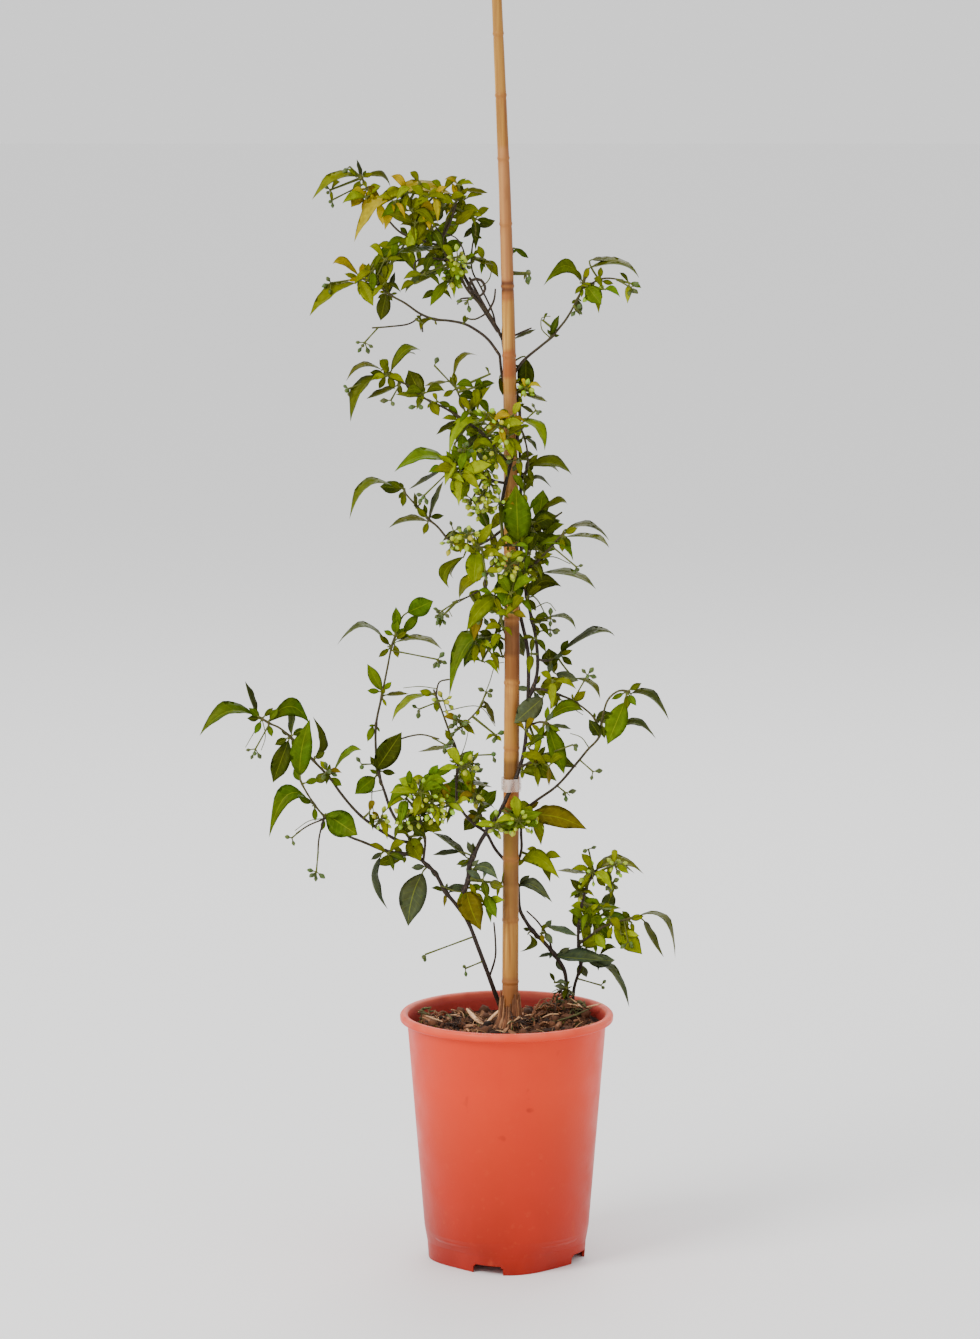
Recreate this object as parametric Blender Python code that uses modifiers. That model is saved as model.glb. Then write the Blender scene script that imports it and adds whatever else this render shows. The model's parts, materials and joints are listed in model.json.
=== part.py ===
"""A star jasmine in a two-litre nursery pot, twined up a bamboo cane.

Sizes and places in the tables are millimetres; everything Blender gets is metres, +Z up. The origin is the
middle of the pot's foot. The plant is described as it looks from EYE: x and z are read on the upright plane
through the pot's middle, and a depth y, positive to the back, carries the point along the line of sight.
"""

import math
import random
from typing import NamedTuple

import bmesh
import bpy
from mathutils import Vector
from mathutils.bvhtree import BVHTree

MM = 0.001
GAP = 0.3
EYE = Vector((-11.7, -4000.0, 1044.8))

# Pot
STEPS = 32
RIM_R = 75.0
RIM_Z = 176.0
LIP_H = 6.0
BODY_TOP_R = 69.75
BODY_LOW_R = 57.5
FOOT_R = 56.0
FOOT_Z = 17.0
BODY_Z = 18.5
WALL = 1.5
FLOOR_Z = 7.5
PAD_R = 19.5
PAD_WALL = 1.8
FOOT_SQUARE = 0.107
NOTCH_TURN = math.radians(-104.5)
NOTCH_W = 22.5
NOTCH_H = 6.5
DRAIN_R = 4.5
DRAIN_RING = 36.0

# Soil
SOIL_Z = 162.5
SOIL_MOUNDS = ((40.0, 26.0, 24.0, 13.0), (2.0, 4.0, 11.0, 6.0), (-52.0, 8.0, 16.0, 5.0),
               (22.0, -30.0, 22.0, 2.5))
CHIPS = 13
SOIL_SEED = 11

# Cane: x of its axis and its radius by height
CANE_LINE = ((24, 2.5, 5.9), (200, 2.5, 5.75), (300, 2.9, 5.6), (430, 3.7, 5.3), (600, 2.2, 4.7),
             (650, 1.3, 4.55), (700, 0.0, 4.3), (750, -1.5, 4.1), (881, -7.0, 3.5), (917, -8.5, 3.4))
CANE_RINGS = (197, 241, 285, 318, 363, 409, 454, 500, 545, 590, 637, 685, 728, 773, 816, 858, 899)
RING_PROUD = 0.55
RING_HALF = 1.6
PITH_R = 1.3
PITH_DEEP = 8.0

# Tie
TIE_Z = 334.0
TIE_H = 9.0
TIE_THICK = 0.7
TIE_SIDES = 16

# Stems: the length of their straight pieces, and the radius of their side twigs
STEM_STEP = 12.0
SHOOT_STEP = 16.0
TWIG_R = 0.8

# Leaves and buds
LEAF_RATIO = 0.36
LEAF_KEEL = 1.0
PETIOLE_R = 0.6
BIG_LEAF = 36.0
BUD_R = 1.35
BUD_L = 4.2
PEDICEL_R = 0.45
KNOT_R = 0.8
PEDUNCLE_R = 0.55
BEND_STEP = 4.0
BEND_TRIES = 13
BEHIND_SEED = 5
BEHIND_SHARE = 0.22
BEHIND_WIDTH = 6.5
BEHIND_BEND = (26.0, 38.0)
BEHIND_SIZE = (0.7, 0.85)
KEPT_SHARE = 0.78


class Stem(NamedTuple):
    """A leafy stem: what it grows from, its radii at foot and tip, its route, and what grows on it.

    A route point is (x, z, y). A leaf is (width, near, x, z, ...), its places from blade foot to tip and how
    far the tip comes towards the eye. A spray is (x, z, near, spread, buds).
    """

    parent: str
    radii: tuple
    route: list
    twigs: list
    leaves: list
    sprays: list


def along_cane(z):
    """The cane's axis and radius at a height."""
    for (z0, x0, r0), (z1, x1, r1) in zip(CANE_LINE, CANE_LINE[1:]):
        if z <= z1:
            t = max(0.0, (z - z0) / (z1 - z0))
            return x0 + (x1 - x0) * t, r0 + (r1 - r0) * t
    return CANE_LINE[-1][1:]


def twined(z, turn, off=0.6, radius=1.4):
    """A route point of a stem that winds round the cane: turn is 0 at the right, 90 at the back."""
    x, r = along_cane(z)
    out = r + off + radius
    y = out * math.sin(math.radians(turn))
    world = Vector((x + out * math.cos(math.radians(turn)), y, z))
    on_plane = EYE + (world - EYE) * (-EYE.y / (y - EYE.y))
    return on_plane.x, on_plane.z, y


STEMS = {
    "stem_left": Stem(
        "soil", (1.7, 1.25),
        [(-2, 140, 9), (-2, 171, 9), (-5, 181, 8), (-8, 189, 6), (-13, 203, 3), (-20, 222, 1),
         (-27, 240, 1),
         (-35, 252, 0), (-43, 262, -1), (-50, 275, -2), (-60, 285, -4), (-65, 295, -5), (-68, 300, -6)],
        [[(-11, 200, 3), (-8, 215, 5), (-8, 228, 6), (-9, 240, 7)]],
        [(19, 12, -59, 275, -66, 258, -69, 237), (5, -9, -43, 263, -27, 266), (13, 14, -68, 299, -60, 284)],
        [(-57, 217, 6, 3, 2)],
    ),
    "stem_twiner": Stem(
        "stem_left", (1.55, 1.0),
        [(-34, 251, 0), (-30, 262, -2), (-27, 270, -3), (-26, 280, -4), (-22, 290, -5), (-17, 300, -6),
         (-10, 310, -7), (-4, 320, -8.6), (1, 331, -8.8), twined(345, -60), twined(360, -20, 2.0),
         twined(376, -5, 3.5), twined(400, 0, 4.5), twined(430, 10, 4.5), twined(450, 35, 2.2),
         twined(470, 70),
         twined(490, 100), twined(508, 135), twined(525, 175), twined(540, 215), twined(555, 250),
         twined(570, 285), twined(583, 320), twined(595, 355), twined(607, 395), twined(620, 430),
         twined(632, 465), twined(645, 488), twined(660, 480), twined(680, 450), twined(700, 430),
         twined(711, 412)],
        [],
        [(17, 10, -28, 262, -25, 250, -18, 234), (8, 14, -15, 260, -7, 243),
         (8, 14, -24, 278, -14, 279, -6, 270),
         (7, 20, -12, 268, -2, 265), (4, -9, -33, 290, -52, 288), (3, -12, -28, 286, -40, 297, -52, 304),
         (13, 12, -10, 307, 8, 313, 25, 318), (12, 12, 13, 636, 13, 612), (5, 10, 8, 619, 20, 611),
         (3, 8, 10, 612, 28, 606),
         (4, -5, 5, 712, 15, 705)],
        [],
    ),
    "stem_second": Stem(
        "stem_twiner", (1.3, 1.0),
        [(14, 398, -1), twined(406, 0, 8.0), twined(420, 0, 11.0), twined(440, 5, 10.0),
         twined(460, 5, 6.0),
         twined(480, 12, 2.5), twined(500, 15, 0.8), twined(520, 10), twined(545, 5), twined(565, 12),
         twined(580, 40), twined(595, 80), twined(610, 115), twined(625, 145), twined(638, 172)],
        [],
        [(12, 10, 23, 404, 40, 412), (3, 8, 26, 455, 40, 456, 48, 447), (11, -8, 17, 470, 25, 481, 38, 477),
         (4, -8, 25, 487, 48, 485, 62, 475), (15, 12, 25, 399, 5, 381)],
        [(30, 447, 6, 6, 4)],
    ),
    "stem_right": Stem(
        "soil", (1.6, 1.0),
        [(42, 142, 25), (42, 186, 25), (41, 203, 22), (37, 212, 19), (31, 220, 16), (25, 227, 14),
         (18, 234, 12),
         (12, 243, 11), (9, 250, 10), (8, 262, 9.5), (6, 272, 9), (1, 281, 9), (-8, 292, 10),
         (-14, 303, 10),
         (-20, 308, 9), (-28, 315, 6), (-35, 325, 2)],
        [[(32, 218, 16), (29, 229, 12), (22, 240, 8), (14, 248, 4)]],
        [(12, 12, 10, 284, 22, 286, 37, 271), (8, 12, 9, 266, 18, 267, 32, 254), (5, 8, 28, 237, 50, 230),
         (5, 14, 15, 232, 19, 224, 9, 219), (10, 8, 33, 216, 52, 215, 71, 213),
         (3, -9, -20, 311, -16, 324, -8, 320)],
        [],
    ),
    "stem_short": Stem(
        "soil", (1.3, 0.9),
        [(46.5, 142, 30), (46.5, 186, 30), (50, 203, 26), (52, 210, 24), (50, 230, 20), (52, 250, 16),
         (55, 262, 14),
         (58, 270, 12), (63, 277, 10)],
        [],
        [(5, 8, 58, 213, 75, 204, 86, 179), (10, 12, 53, 223, 66, 231), (6, 6, 55, 236, 58, 252),
         (5, -8, 58, 251, 80, 250), (7, -6, 62, 277, 78, 284, 96, 274), (6, 8, 54, 262, 44, 271),
         (5, -8, 54, 264, 47, 257), (3, 5, 56, 275, 35, 277), (10, 6, 57, 212, 76, 213)],
        [(73, 268, 4, 6, 5)],
    ),
    "shoot_short_right": Stem(
        "stem_short", (0.95, 0.65),
        [(51, 224, 21), (58, 230, 14), (66, 236, 9), (76, 240, 5), (88, 243, 2)],
        [],
        [(14, 8, 75, 238, 95, 217), (3.5, 6, 89, 243, 110, 243, 118, 214),
         (4, -6, 96, 241, 101, 230, 110, 215),
         (8, 8, 62, 232, 69, 221), (5, -8, 64, 237, 65, 246)],
        [(85, 226, 8, 5, 3)],
    ),
    "shoot_right_long": Stem(
        "stem_right", (1.15, 0.7),
        [(6, 276, 9), (10, 290, 11), (10, 305, 11), (11, 318, 7), (20, 326, 0), (35, 337, -8),
         (48, 352, -15),
         (56, 362, -20), (64, 371, -24), (66, 382, -26), (70, 397, -28), (78, 404, -28), (86, 403, -28)],
        [],
        [(15, 10, 15, 316, 35, 315, 56, 306), (15, 8, 82, 396, 70, 366),
         (4.5, -8, 86, 402, 101, 400, 113, 383),
         (5, -12, 80, 379, 92, 381, 104, 370), (8, 6, 65, 372, 57, 384)],
        [(41, 332, -4, 4, 3)],
    ),
    "shoot_low_right": Stem(
        "stem_twiner", (1.0, 0.7),
        [(9, 350, -7), (13, 352, -14), (18, 354, -20), (22, 358, -24)],
        [],
        [(8, -14, 23, 359, 49, 350), (14, 6, 11, 347, 22, 350, 35, 340)],
        [],
    ),
    "shoot_mid_front": Stem(
        "stem_twiner", (1.0, 0.7),
        [(13, 378, -1), (17, 380, -8), (23, 382, -15), (29, 381, -20)],
        [],
        [(9, -8, 28, 383, 42, 393, 54, 389), (3, 6, 31, 380, 45, 377), (12, 8, 29, 379, 40, 345)],
        [],
    ),
    "shoot_right_cluster": Stem(
        "stem_second", (0.95, 0.65),
        [(17, 406, 0), (25, 405, -6), (34, 402, -8), (46, 397, -9), (58, 388, -9), (63, 381, -9)],
        [],
        [(8, -8, 62, 383, 72, 389), (6, 8, 47, 397, 55, 404), (5, 6, 36, 401, 30, 391)],
        [(56, 415, 4, 5, 4)],
    ),
    "shoot_mid_right": Stem(
        "stem_second", (0.95, 0.65),
        [(20, 427, 1), (26, 425, 7), (33, 427, 14), (38, 431, 20)],
        [],
        [(4, -10, 39, 432, 62, 446, 75, 442), (12, -4, 31, 420, 29, 434), (8, 6, 34, 416, 50, 411),
         (2.5, 8, 47, 413, 59, 409, 65, 398)],
        [],
    ),
    "shoot_right_front": Stem(
        "stem_second", (1.0, 0.7),
        [(13, 489, 1), (19, 493, -6), (27, 501, -12), (35, 510, -17), (40, 515, -20)],
        [],
        [(3, -8, 41, 517, 58, 520, 71, 509), (3, 8, 40, 512, 60, 512, 71, 504),
         (8, 8, 20, 505, 37, 509, 46, 495),
         (5, 6, 19, 498, 32, 500)],
        [(48, 491, 4, 4, 3)],
    ),
    "shoot_right_back": Stem(
        "stem_second", (1.0, 0.7),
        [(10, 519, 2), (16, 519, 9), (24, 521, 18), (32, 525, 26), (38, 529, 32)],
        [],
        [(5, -4, 22, 529, 36, 537, 42, 534), (14, -8, 17, 520, 34, 527), (8, 6, 17, 514, 31, 509),
         (9, -12, 33, 526, 26, 511)],
        [],
    ),
    "shoot_right_upper": Stem(
        "stem_second", (0.95, 0.65),
        [(10, 551, 0), (14, 560, -7), (14, 572, -12), (11, 584, -15), (7, 592, -16)],
        [],
        [(7, 8, 7, 594, 22, 588, 26, 572), (3, 5, 11, 581, 17, 578, 21, 571),
         (8, -10, 15, 561, 32, 564, 45, 555),
         (2.5, -10, 16, 551, 23, 553, 31, 546)],
        [(20, 600, 4, 5, 3)],
    ),
    "shoot_centre_front": Stem(
        "stem_second", (1.0, 0.7),
        [(11, 503, 1), (12, 505, -9), (8, 506, -17), (-3, 506, -23), (-14, 505, -26), (-21, 504, -27)],
        [[(6, 506, -19), (8, 496, -21), (7, 488, -21)]],
        [(20, 8, 8, 508, 6, 548), (5, 6, 0, 514, -8, 501), (20, 6, 6, 487, -3, 463),
         (14, 6, -21, 503, -23, 479), (7, 12, -20, 507, -10, 522)],
        [(1, 491, 8, 11, 6)],
    ),
    "shoot_centre_low": Stem(
        "stem_twiner", (1.0, 0.7),
        [(-1, 499, 7), (-9, 493, 3), (-14, 486, -4), (-15, 478, -10), (-11, 472, -15), (-6, 469, -18)],
        [[(-15, 477, -10), (-27, 470, -13), (-38, 466, -15)]],
        [(12, 8, -6, 470, -18, 462, -28, 446), (8, -10, -13, 486, -28, 480, -33, 468)],
        [(-45, 460, 4, 7, 5)],
    ),
    "shoot_back_left": Stem(
        "stem_twiner", (1.0, 0.7),
        [(4, 474, 7), (-1, 462, 13), (-6, 450, 15), (-9, 440, 14)],
        [],
        [(12, 12, -10, 437, -28, 438, -40, 400), (12, -22, -8, 444, -22, 436, -30, 420),
         (11, -26, -4, 454, 6, 440, 12, 428)],
        [],
    ),
    "shoot_left_centre": Stem(
        "stem_twiner", (1.05, 0.65),
        [(-5, 515, 2), (-14, 509, 5), (-25, 505, 7), (-38, 508, 10), (-48, 519, 13), (-54, 524, 15),
         (-62, 533, 18), (-70, 542, 21), (-71, 546, 22)],
        [],
        [(9, -8, -72, 546, -88, 547), (6, 8, -78, 547, -97, 548, -109, 524),
         (3, -10, -55, 523, -70, 524, -82, 518),
         (4, 6, -54, 526, -44, 551), (8, 12, -30, 498, -43, 488, -40, 476)],
        [(-37, 516, 6, 8, 5), (-22, 514, 6, 7, 5)],
    ),
    "shoot_centre_left": Stem(
        "stem_twiner", (1.05, 0.7),
        [(-1, 549, -7), (-9, 551, -14), (-19, 556, -20), (-29, 561, -25), (-38, 563, -28)],
        [],
        [(9, 8, -40, 563, -58, 569, -78, 557), (3, -8, -46, 558, -68, 545), (8, 12, -26, 561, -39, 573),
         (7, 10, -22, 565, -19, 552), (14, 5, -32, 557, -33, 536)],
        [(-57, 541, 4, 6, 4), (-18, 540, 8, 11, 6), (-29, 573, 5, 5, 4)],
    ),
    "shoot_upper_left": Stem(
        "stem_twiner", (1.1, 0.65),
        [(-1, 562, -9), (-8, 574, -13), (-18, 585, -14), (-28, 592, -15), (-42, 601, -16), (-58, 609, -18),
         (-68, 617, -19), (-78, 622, -20), (-85, 627, -21)],
        [[(-26, 591, -15), (-31, 605, -11), (-37, 620, -8)]],
        [(7, 10, -13, 590, -31, 590, -40, 568), (5, -10, -20, 583, -31, 572), (13, -10, -59, 610, -68, 628),
         (4, 8, -59, 610, -77, 611), (3, 6, -76, 617, -97, 608), (7, -8, -80, 627, -70, 642, -59, 641),
         (3, 5, -86, 628, -100, 631, -111, 620), (8, 8, -87, 624, -101, 615, -108, 592),
         (4, -6, -37, 623, -31, 637, -20, 638), (2.5, 6, -41, 620, -57, 617), (7, 8, -52, 606, -47, 596),
         (6, 8, -28, 599, -11, 617)],
        [(-109, 615, 2, 4, 3), (-13, 597, 8, 8, 6)],
    ),
    "shoot_top_right": Stem(
        "stem_twiner", (1.1, 0.65),
        [(5, 624, 7), (11, 634, 4), (24, 645, -3), (30, 650, -6), (36, 657, -9), (42, 665, -12),
         (50, 680, -17),
         (54, 692, -20)],
        [[(52, 684, -18), (66, 691, -16), (80, 690, -14)]],
        [(10, 8, 51, 688, 40, 700, 25, 686), (3, -8, 56, 698, 78, 702, 91, 691), (12, 8, 55, 686, 65, 673),
         (6, -8, 48, 677, 50, 666), (3, -10, 58, 704, 78, 704), (5, 6, 30, 652, 36, 666)],
        [(85, 685, 3, 4, 4)],
    ),
    "shoot_top_left": Stem(
        "stem_second", (1.1, 0.65),
        [(-5, 641, 1), (-13, 649, 3), (-22, 656, 7), (-30, 660, 10), (-40, 662, 14), (-50, 663, 17),
         (-60, 667, 20),
         (-70, 674, 23), (-79, 679, 26), (-90, 687, 29), (-97, 690, 31), (-102, 692, 32)],
        [[(-58, 666, 20), (-67, 660, 17), (-80, 658, 15), (-93, 657, 13)]],
        [(4, 6, -50, 663, -58, 661, -59, 654), (4, -8, -81, 681, -77, 696), (5, 5, -82, 683, -88, 694),
         (9, -12, -97, 692, -81, 706, -65, 701), (7, -6, -90, 703, -72, 720),
         (6, 8, -102, 693, -113, 703, -120, 701),
         (8, 12, -104, 688, -121, 681, -136, 665), (9, 10, -101, 690, -92, 672),
         (10, -10, -83, 681, -87, 662)],
        [(-98, 647, 2, 8, 5), (-121, 688, 4, 7, 4)],
    ),
    "shoot_top": Stem(
        "stem_twiner", (1.2, 0.7),
        [(-3, 647, 5), (-7, 657, 3), (-12, 666, 0), (-20, 675, -3), (-27, 683, -5), (-31, 690, -6),
         (-37, 698, -7),
         (-43, 710, -8), (-44, 720, -8), (-40, 733, -7), (-36, 742, -6), (-31, 749, -5)],
        [[(-8, 659, 3), (-10, 668, 5), (-18, 685, 7), (-24, 697, 8), (-24, 712, 9), (-21, 725, 10)],
         [(-44, 720, -8), (-51, 729, -12), (-58, 736, -15), (-66, 743, -19), (-73, 747, -22)],
         [(-13, 667, 0), (-22, 663, 3), (-30, 664, 5)]],
        [(4, 8, -25, 706, -9, 700), (5, -12, -42, 697, -62, 690, -70, 681), (7, 10, -41, 690, -53, 672),
         (5, 6, -51, 700, -58, 703, -63, 697), (5, -12, -50, 712, -75, 709),
         (4, 4, -44, 716, -51, 718, -57, 713),
         (12, 10, -58, 739, -63, 716), (9, 12, -38, 749, -60, 754, -80, 748),
         (8, 10, -75, 748, -92, 740, -105, 716),
         (4, -6, -29, 752, -13, 750), (7, 6, -36, 728, -22, 739),
         (6, -8, -20, 727, -8, 731), (4, -6, -22, 727, -30, 719), (9, -10, -45, 741, -51, 730),
         (6, 10, -30, 692, -41, 703)],
        [(-34, 706, 9, 8, 6), (-27, 676, 8, 6, 4)],
    ),
    "shoot_top_tip": Stem(
        "shoot_top", (0.95, 0.65),
        [(-43, 713, -8), (-55, 716, 0), (-72, 722, 4), (-83, 733, 6), (-90, 742, 8), (-97, 755, 10),
         (-101, 763, 11)],
        [],
        [(3, -4, -100, 760, -103, 773), (6, 8, -103, 761, -118, 760, -134, 745),
         (4, -10, -98, 761, -86, 762, -80, 754),
         (9, 8, -99, 752, -107, 740), (10, 10, -95, 752, -89, 740)],
        [(-120, 745, 2, 4, 2)],
    ),
    "shoot_left_back": Stem(
        "stem_left", (1.2, 0.65),
        [(-68, 300, -6), (-76, 311, -3), (-81, 320, 1), (-85, 332, 6), (-89, 345, 12), (-91, 360, 17),
         (-91, 380, 22),
         (-87, 400, 27), (-83, 420, 31), (-80, 435, 34), (-76, 446, 36)],
        [[(-91, 352, 14), (-82, 366, 10), (-62, 373, 5), (-47, 370, 2)]],
        [(14, -6, -69, 459, -51, 467), (7, 5, -76, 448, -77, 463), (7, -6, -72, 445, -61, 458),
         (3.5, 6, -82, 435, -99, 450, -118, 436), (2.5, 8, -78, 438, -60, 441, -45, 433),
         (8, -8, -87, 404, -97, 423),
         (3, -6, -84, 401, -68, 402), (16, 10, -91, 348, -73, 375), (12, 8, -92, 343, -106, 331),
         (5, 6, -93, 379, -97, 368)],
        [(-48, 426, 3, 6, 5), (-43, 366, 2, 4, 3)],
    ),
    "shoot_inner_left": Stem(
        "stem_right", (0.95, 0.65),
        [(-35, 325, 2), (-35, 342, 3), (-34, 358, 5), (-40, 375, 8), (-46, 392, 10), (-51, 405, 12)],
        [[(-39, 372, 7), (-24, 386, 9), (-16, 396, 10)], [(-50, 402, 12), (-47, 410, 10), (-40, 412, 8)]],
        [(5, 5, -53, 402, -70, 396, -80, 382), (3, -8, -37, 365, -62, 361), (5, 6, -34, 384, -22, 373),
         (3, 5, -35, 341, -10, 336), (6, 8, -36, 352, -52, 343), (4, -6, -16, 397, -8, 380)],
        [(-61, 391, 4, 4, 3), (-44, 397, 8, 9, 6), (-34, 378, 5, 6, 5), (-14, 403, 4, 5, 3),
         (-27, 352, 7, 8, 6),
         (-10, 359, 4, 4, 2)],
    ),
    "shoot_left_whorl": Stem(
        "stem_left", (1.0, 0.7),
        [(-58, 284, -4), (-57, 298, -11), (-60, 311, -15), (-63, 323, -18)],
        [],
        [(9, 6, -63, 326, -54, 341, -38, 330), (9, 6, -65, 325, -75, 334, -83, 320),
         (8, 10, -59, 311, -45, 305),
         (7, -10, -61, 312, -76, 303), (6, 10, -57, 301, -67, 309)],
        [(-71, 314, 8, 9, 6), (-49, 319, 8, 9, 6)],
    ),
    "shoot_left_long": Stem(
        "stem_left", (1.2, 0.7),
        [(-66, 297, -5), (-75, 298, -10), (-83, 302, -12), (-92, 308, -14), (-100, 314, -16),
         (-108, 322, -18),
         (-116, 332, -20), (-123, 342, -22), (-133, 353, -24), (-145, 366, -26), (-157, 377, -28),
         (-165, 381, -29),
         (-173, 386, -30)],
        [],
        [(10, 8, -175, 386, -195, 390, -214, 372), (4, -6, -174, 388, -182, 411),
         (13, -10, -166, 382, -150, 393, -137, 380),
         (5, -10, -150, 373, -148, 397), (6, -8, -134, 357, -129, 368, -135, 386),
         (13, -8, -152, 369, -163, 339),
         (5, 6, -121, 347, -110, 361, -101, 362), (7, -8, -124, 345, -134, 340)],
        [(-175, 363, 4, 8, 4)],
    ),
    "shoot_left_low": Stem(
        "stem_left", (1.1, 0.7),
        [(-58, 283, -4), (-68, 288, -13), (-85, 291, -20), (-100, 297, -26), (-110, 301, -30),
         (-117, 306, -33),
         (-126, 314, -37), (-133, 322, -40), (-140, 333, -43), (-144, 341, -45)],
        [[(-127, 315, -37), (-131, 300, -34), (-132, 286, -32)], [(-126, 314, -37), (-138, 309, -42),
         (-147, 303, -45)]],
        [(15, 6, -144, 344, -143, 362, -137, 384), (13, 8, -135, 323, -153, 331, -166, 300),
         (19, 8, -126, 317, -104, 302),
         (5, 6, -88, 287, -93, 270, -83, 249), (8, -6, -71, 288, -92, 281)],
        [(-133, 276, 2, 6, 5)],
    ),
    "shoot_back_low": Stem(
        "stem_right", (1.0, 0.7),
        [(-14, 302, 10), (-15, 309, 24), (-20, 320, 40), (-27, 332, 54), (-32, 343, 66)],
        [],
        [(12, -12, -33, 345, -40, 322), (11, -18, -33, 347, -25, 362), (11, 6, -27, 333, -8, 326),
         (12, 2, -26, 331, -45, 338), (10, -6, -19, 319, -30, 305), (9, -8, -19, 320, -7, 334)],
        [(-24, 345, -2, 7, 5)],
    ),
    "shoot_back_mid": Stem(
        "stem_twiner", (1.0, 0.7),
        [(4, 484, 8), (7, 489, 22), (13, 498, 38), (18, 509, 54), (21, 521, 66)],
        [],
        [(12, -14, 22, 523, 25, 545), (11, -20, 22, 523, 14, 505), (12, 2, 18, 510, 34, 503),
         (12, -4, 17, 508, 0, 516), (10, -4, 12, 497, 26, 484), (10, -6, 12, 497, -6, 490)],
        [(30, 522, -6, 6, 4)],
    ),
    "shoot_back_centre": Stem(
        "stem_second", (1.0, 0.7),
        [(4, 591, 7), (2, 588, 20), (-5, 584, 34), (-13, 579, 47), (-19, 577, 58)],
        [],
        [(12, -14, -20, 578, -36, 566), (10, -18, -20, 578, -12, 562), (11, 0, -13, 580, -30, 590),
         (11, -2, -12, 578, -10, 556), (9, -4, -4, 583, 12, 588), (8, -4, -3, 583, -14, 572)],
        [(-24, 586, -4, 6, 4)],
    ),
    "shoot_back_top": Stem(
        "shoot_top", (0.9, 0.65),
        [(-36, 696, -7), (-39, 703, 8), (-45, 711, 24), (-50, 722, 38), (-54, 733, 50)],
        [],
        [(11, -16, -55, 735, -68, 745), (10, -18, -54, 735, -42, 744), (10, 2, -50, 723, -69, 716),
         (11, 0, -49, 721, -32, 730), (10, -4, -44, 710, -58, 700), (9, -4, -44, 711, -30, 716)],
        [(-60, 722, -6, 7, 5)],
    ),
    "shoot_back_short": Stem(
        "stem_short", (0.9, 0.65),
        [(51, 232, 20), (55, 236, 33), (61, 242, 46), (67, 245, 57)],
        [],
        [(11, -14, 68, 246, 86, 238), (10, -16, 68, 246, 74, 262), (10, 2, 61, 243, 54, 260),
         (10, 0, 60, 241, 74, 228),
         (9, -2, 54, 236, 46, 246)],
        [],
    ),
}

COLOURS = {
    "pot": (0.63, 0.11, 0.06), "soil": (0.05, 0.03, 0.02), "cane": (0.62, 0.33, 0.15),
    "tie": (0.8, 0.8, 0.76), "stem": (0.09, 0.05, 0.04), "shoot": (0.13, 0.22, 0.02),
}


def clear_scene():
    for obj in list(bpy.data.objects):
        bpy.data.objects.remove(obj)


def collection(name, parent=None):
    made = bpy.data.collections.new(name)
    (parent or bpy.context.scene.collection).children.link(made)
    return made


def material(name, colour, roughness):
    made = bpy.data.materials.new(name)
    made.use_nodes = True
    shader = made.node_tree.nodes["Principled BSDF"]
    shader.inputs["Base Color"].default_value = (*colour, 1.0)
    shader.inputs["Roughness"].default_value = roughness
    made.diffuse_color = (*colour, 1.0)
    return made


def mesh_object(name, mesh, home):
    obj = bpy.data.objects.new(name, mesh)
    home.objects.link(obj)
    return obj


def whole(obj):
    """Fills hollows that joining sealed and drops loose scraps: only the largest closed surface stays."""
    work = bmesh.new()
    work.from_mesh(obj.data)
    seen_before = set()
    islands = []
    for first in work.verts:
        if first in seen_before:
            continue
        island = {first}
        front = [first]
        while front:
            for edge in front.pop().link_edges:
                for vertex in edge.verts:
                    if vertex not in island:
                        island.add(vertex)
                        front.append(vertex)
        seen_before |= island
        islands.append(island)
    islands.sort(key=len)
    bmesh.ops.delete(work, geom=[v for island in islands[:-1] for v in island], context="VERTS")
    work.to_mesh(obj.data)
    work.free()
    return obj


def lighter(obj):
    """Collapses the shortest edges, which are those along the seams where leaves join their stem."""
    decimate = obj.modifiers.new("lighter", "DECIMATE")
    decimate.ratio = KEPT_SHARE
    return applied(obj, weld=False)


def finished(obj, colour, roughness=0.6, sharp=35.0):
    """Shades an object smooth up to the sharp angle and gives it its own material."""
    obj.data.materials.clear()
    obj.data.materials.append(material(obj.name, colour, roughness))
    obj.data.shade_smooth()
    obj.data.set_sharp_from_angle(angle=math.radians(sharp))
    return obj


def applied(obj, weld=True):
    """Replaces an object by a mesh object of the same name and home that holds its evaluated shape."""
    graph = bpy.context.evaluated_depsgraph_get()
    graph.update()
    mesh = bpy.data.meshes.new_from_object(obj.evaluated_get(graph))
    name, home, place = obj.name, obj.users_collection[0], obj.matrix_world.copy()
    bpy.data.objects.remove(obj)
    made = mesh_object(name, mesh, home)
    made.matrix_world = place
    if not weld:
        return made
    work = bmesh.new()
    work.from_mesh(mesh)
    bmesh.ops.remove_doubles(work, verts=work.verts, dist=1e-6)
    work.to_mesh(mesh)
    work.free()
    return made


def turned(name, profile, home):
    """A solid of revolution about Z from (radius, z) points in millimetres."""
    mesh = bpy.data.meshes.new(name)
    edges = [(i, i + 1) for i in range(len(profile) - 1)]
    mesh.from_pydata([(r * MM, 0.0, z * MM) for r, z in profile], edges, [])
    obj = mesh_object(name, mesh, home)
    screw = obj.modifiers.new("turn", "SCREW")
    screw.steps = STEPS
    screw.render_steps = STEPS
    screw.use_merge_vertices = True
    screw.merge_threshold = 0.0001
    return applied(obj)


def tube(name, points, radii, home, resolution=1):
    """A capped tube through points in millimetres, with a radius at each."""
    curve = bpy.data.curves.new(name, "CURVE")
    curve.dimensions = "3D"
    curve.bevel_depth = MM
    curve.bevel_resolution = resolution
    curve.use_fill_caps = True
    spline = curve.splines.new("POLY")
    spline.points.add(len(points) - 1)
    for point, place, radius in zip(spline.points, points, radii):
        point.co = (*(place * MM), 1.0)
        point.radius = radius
    return applied(mesh_object(name, curve, home))


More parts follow.
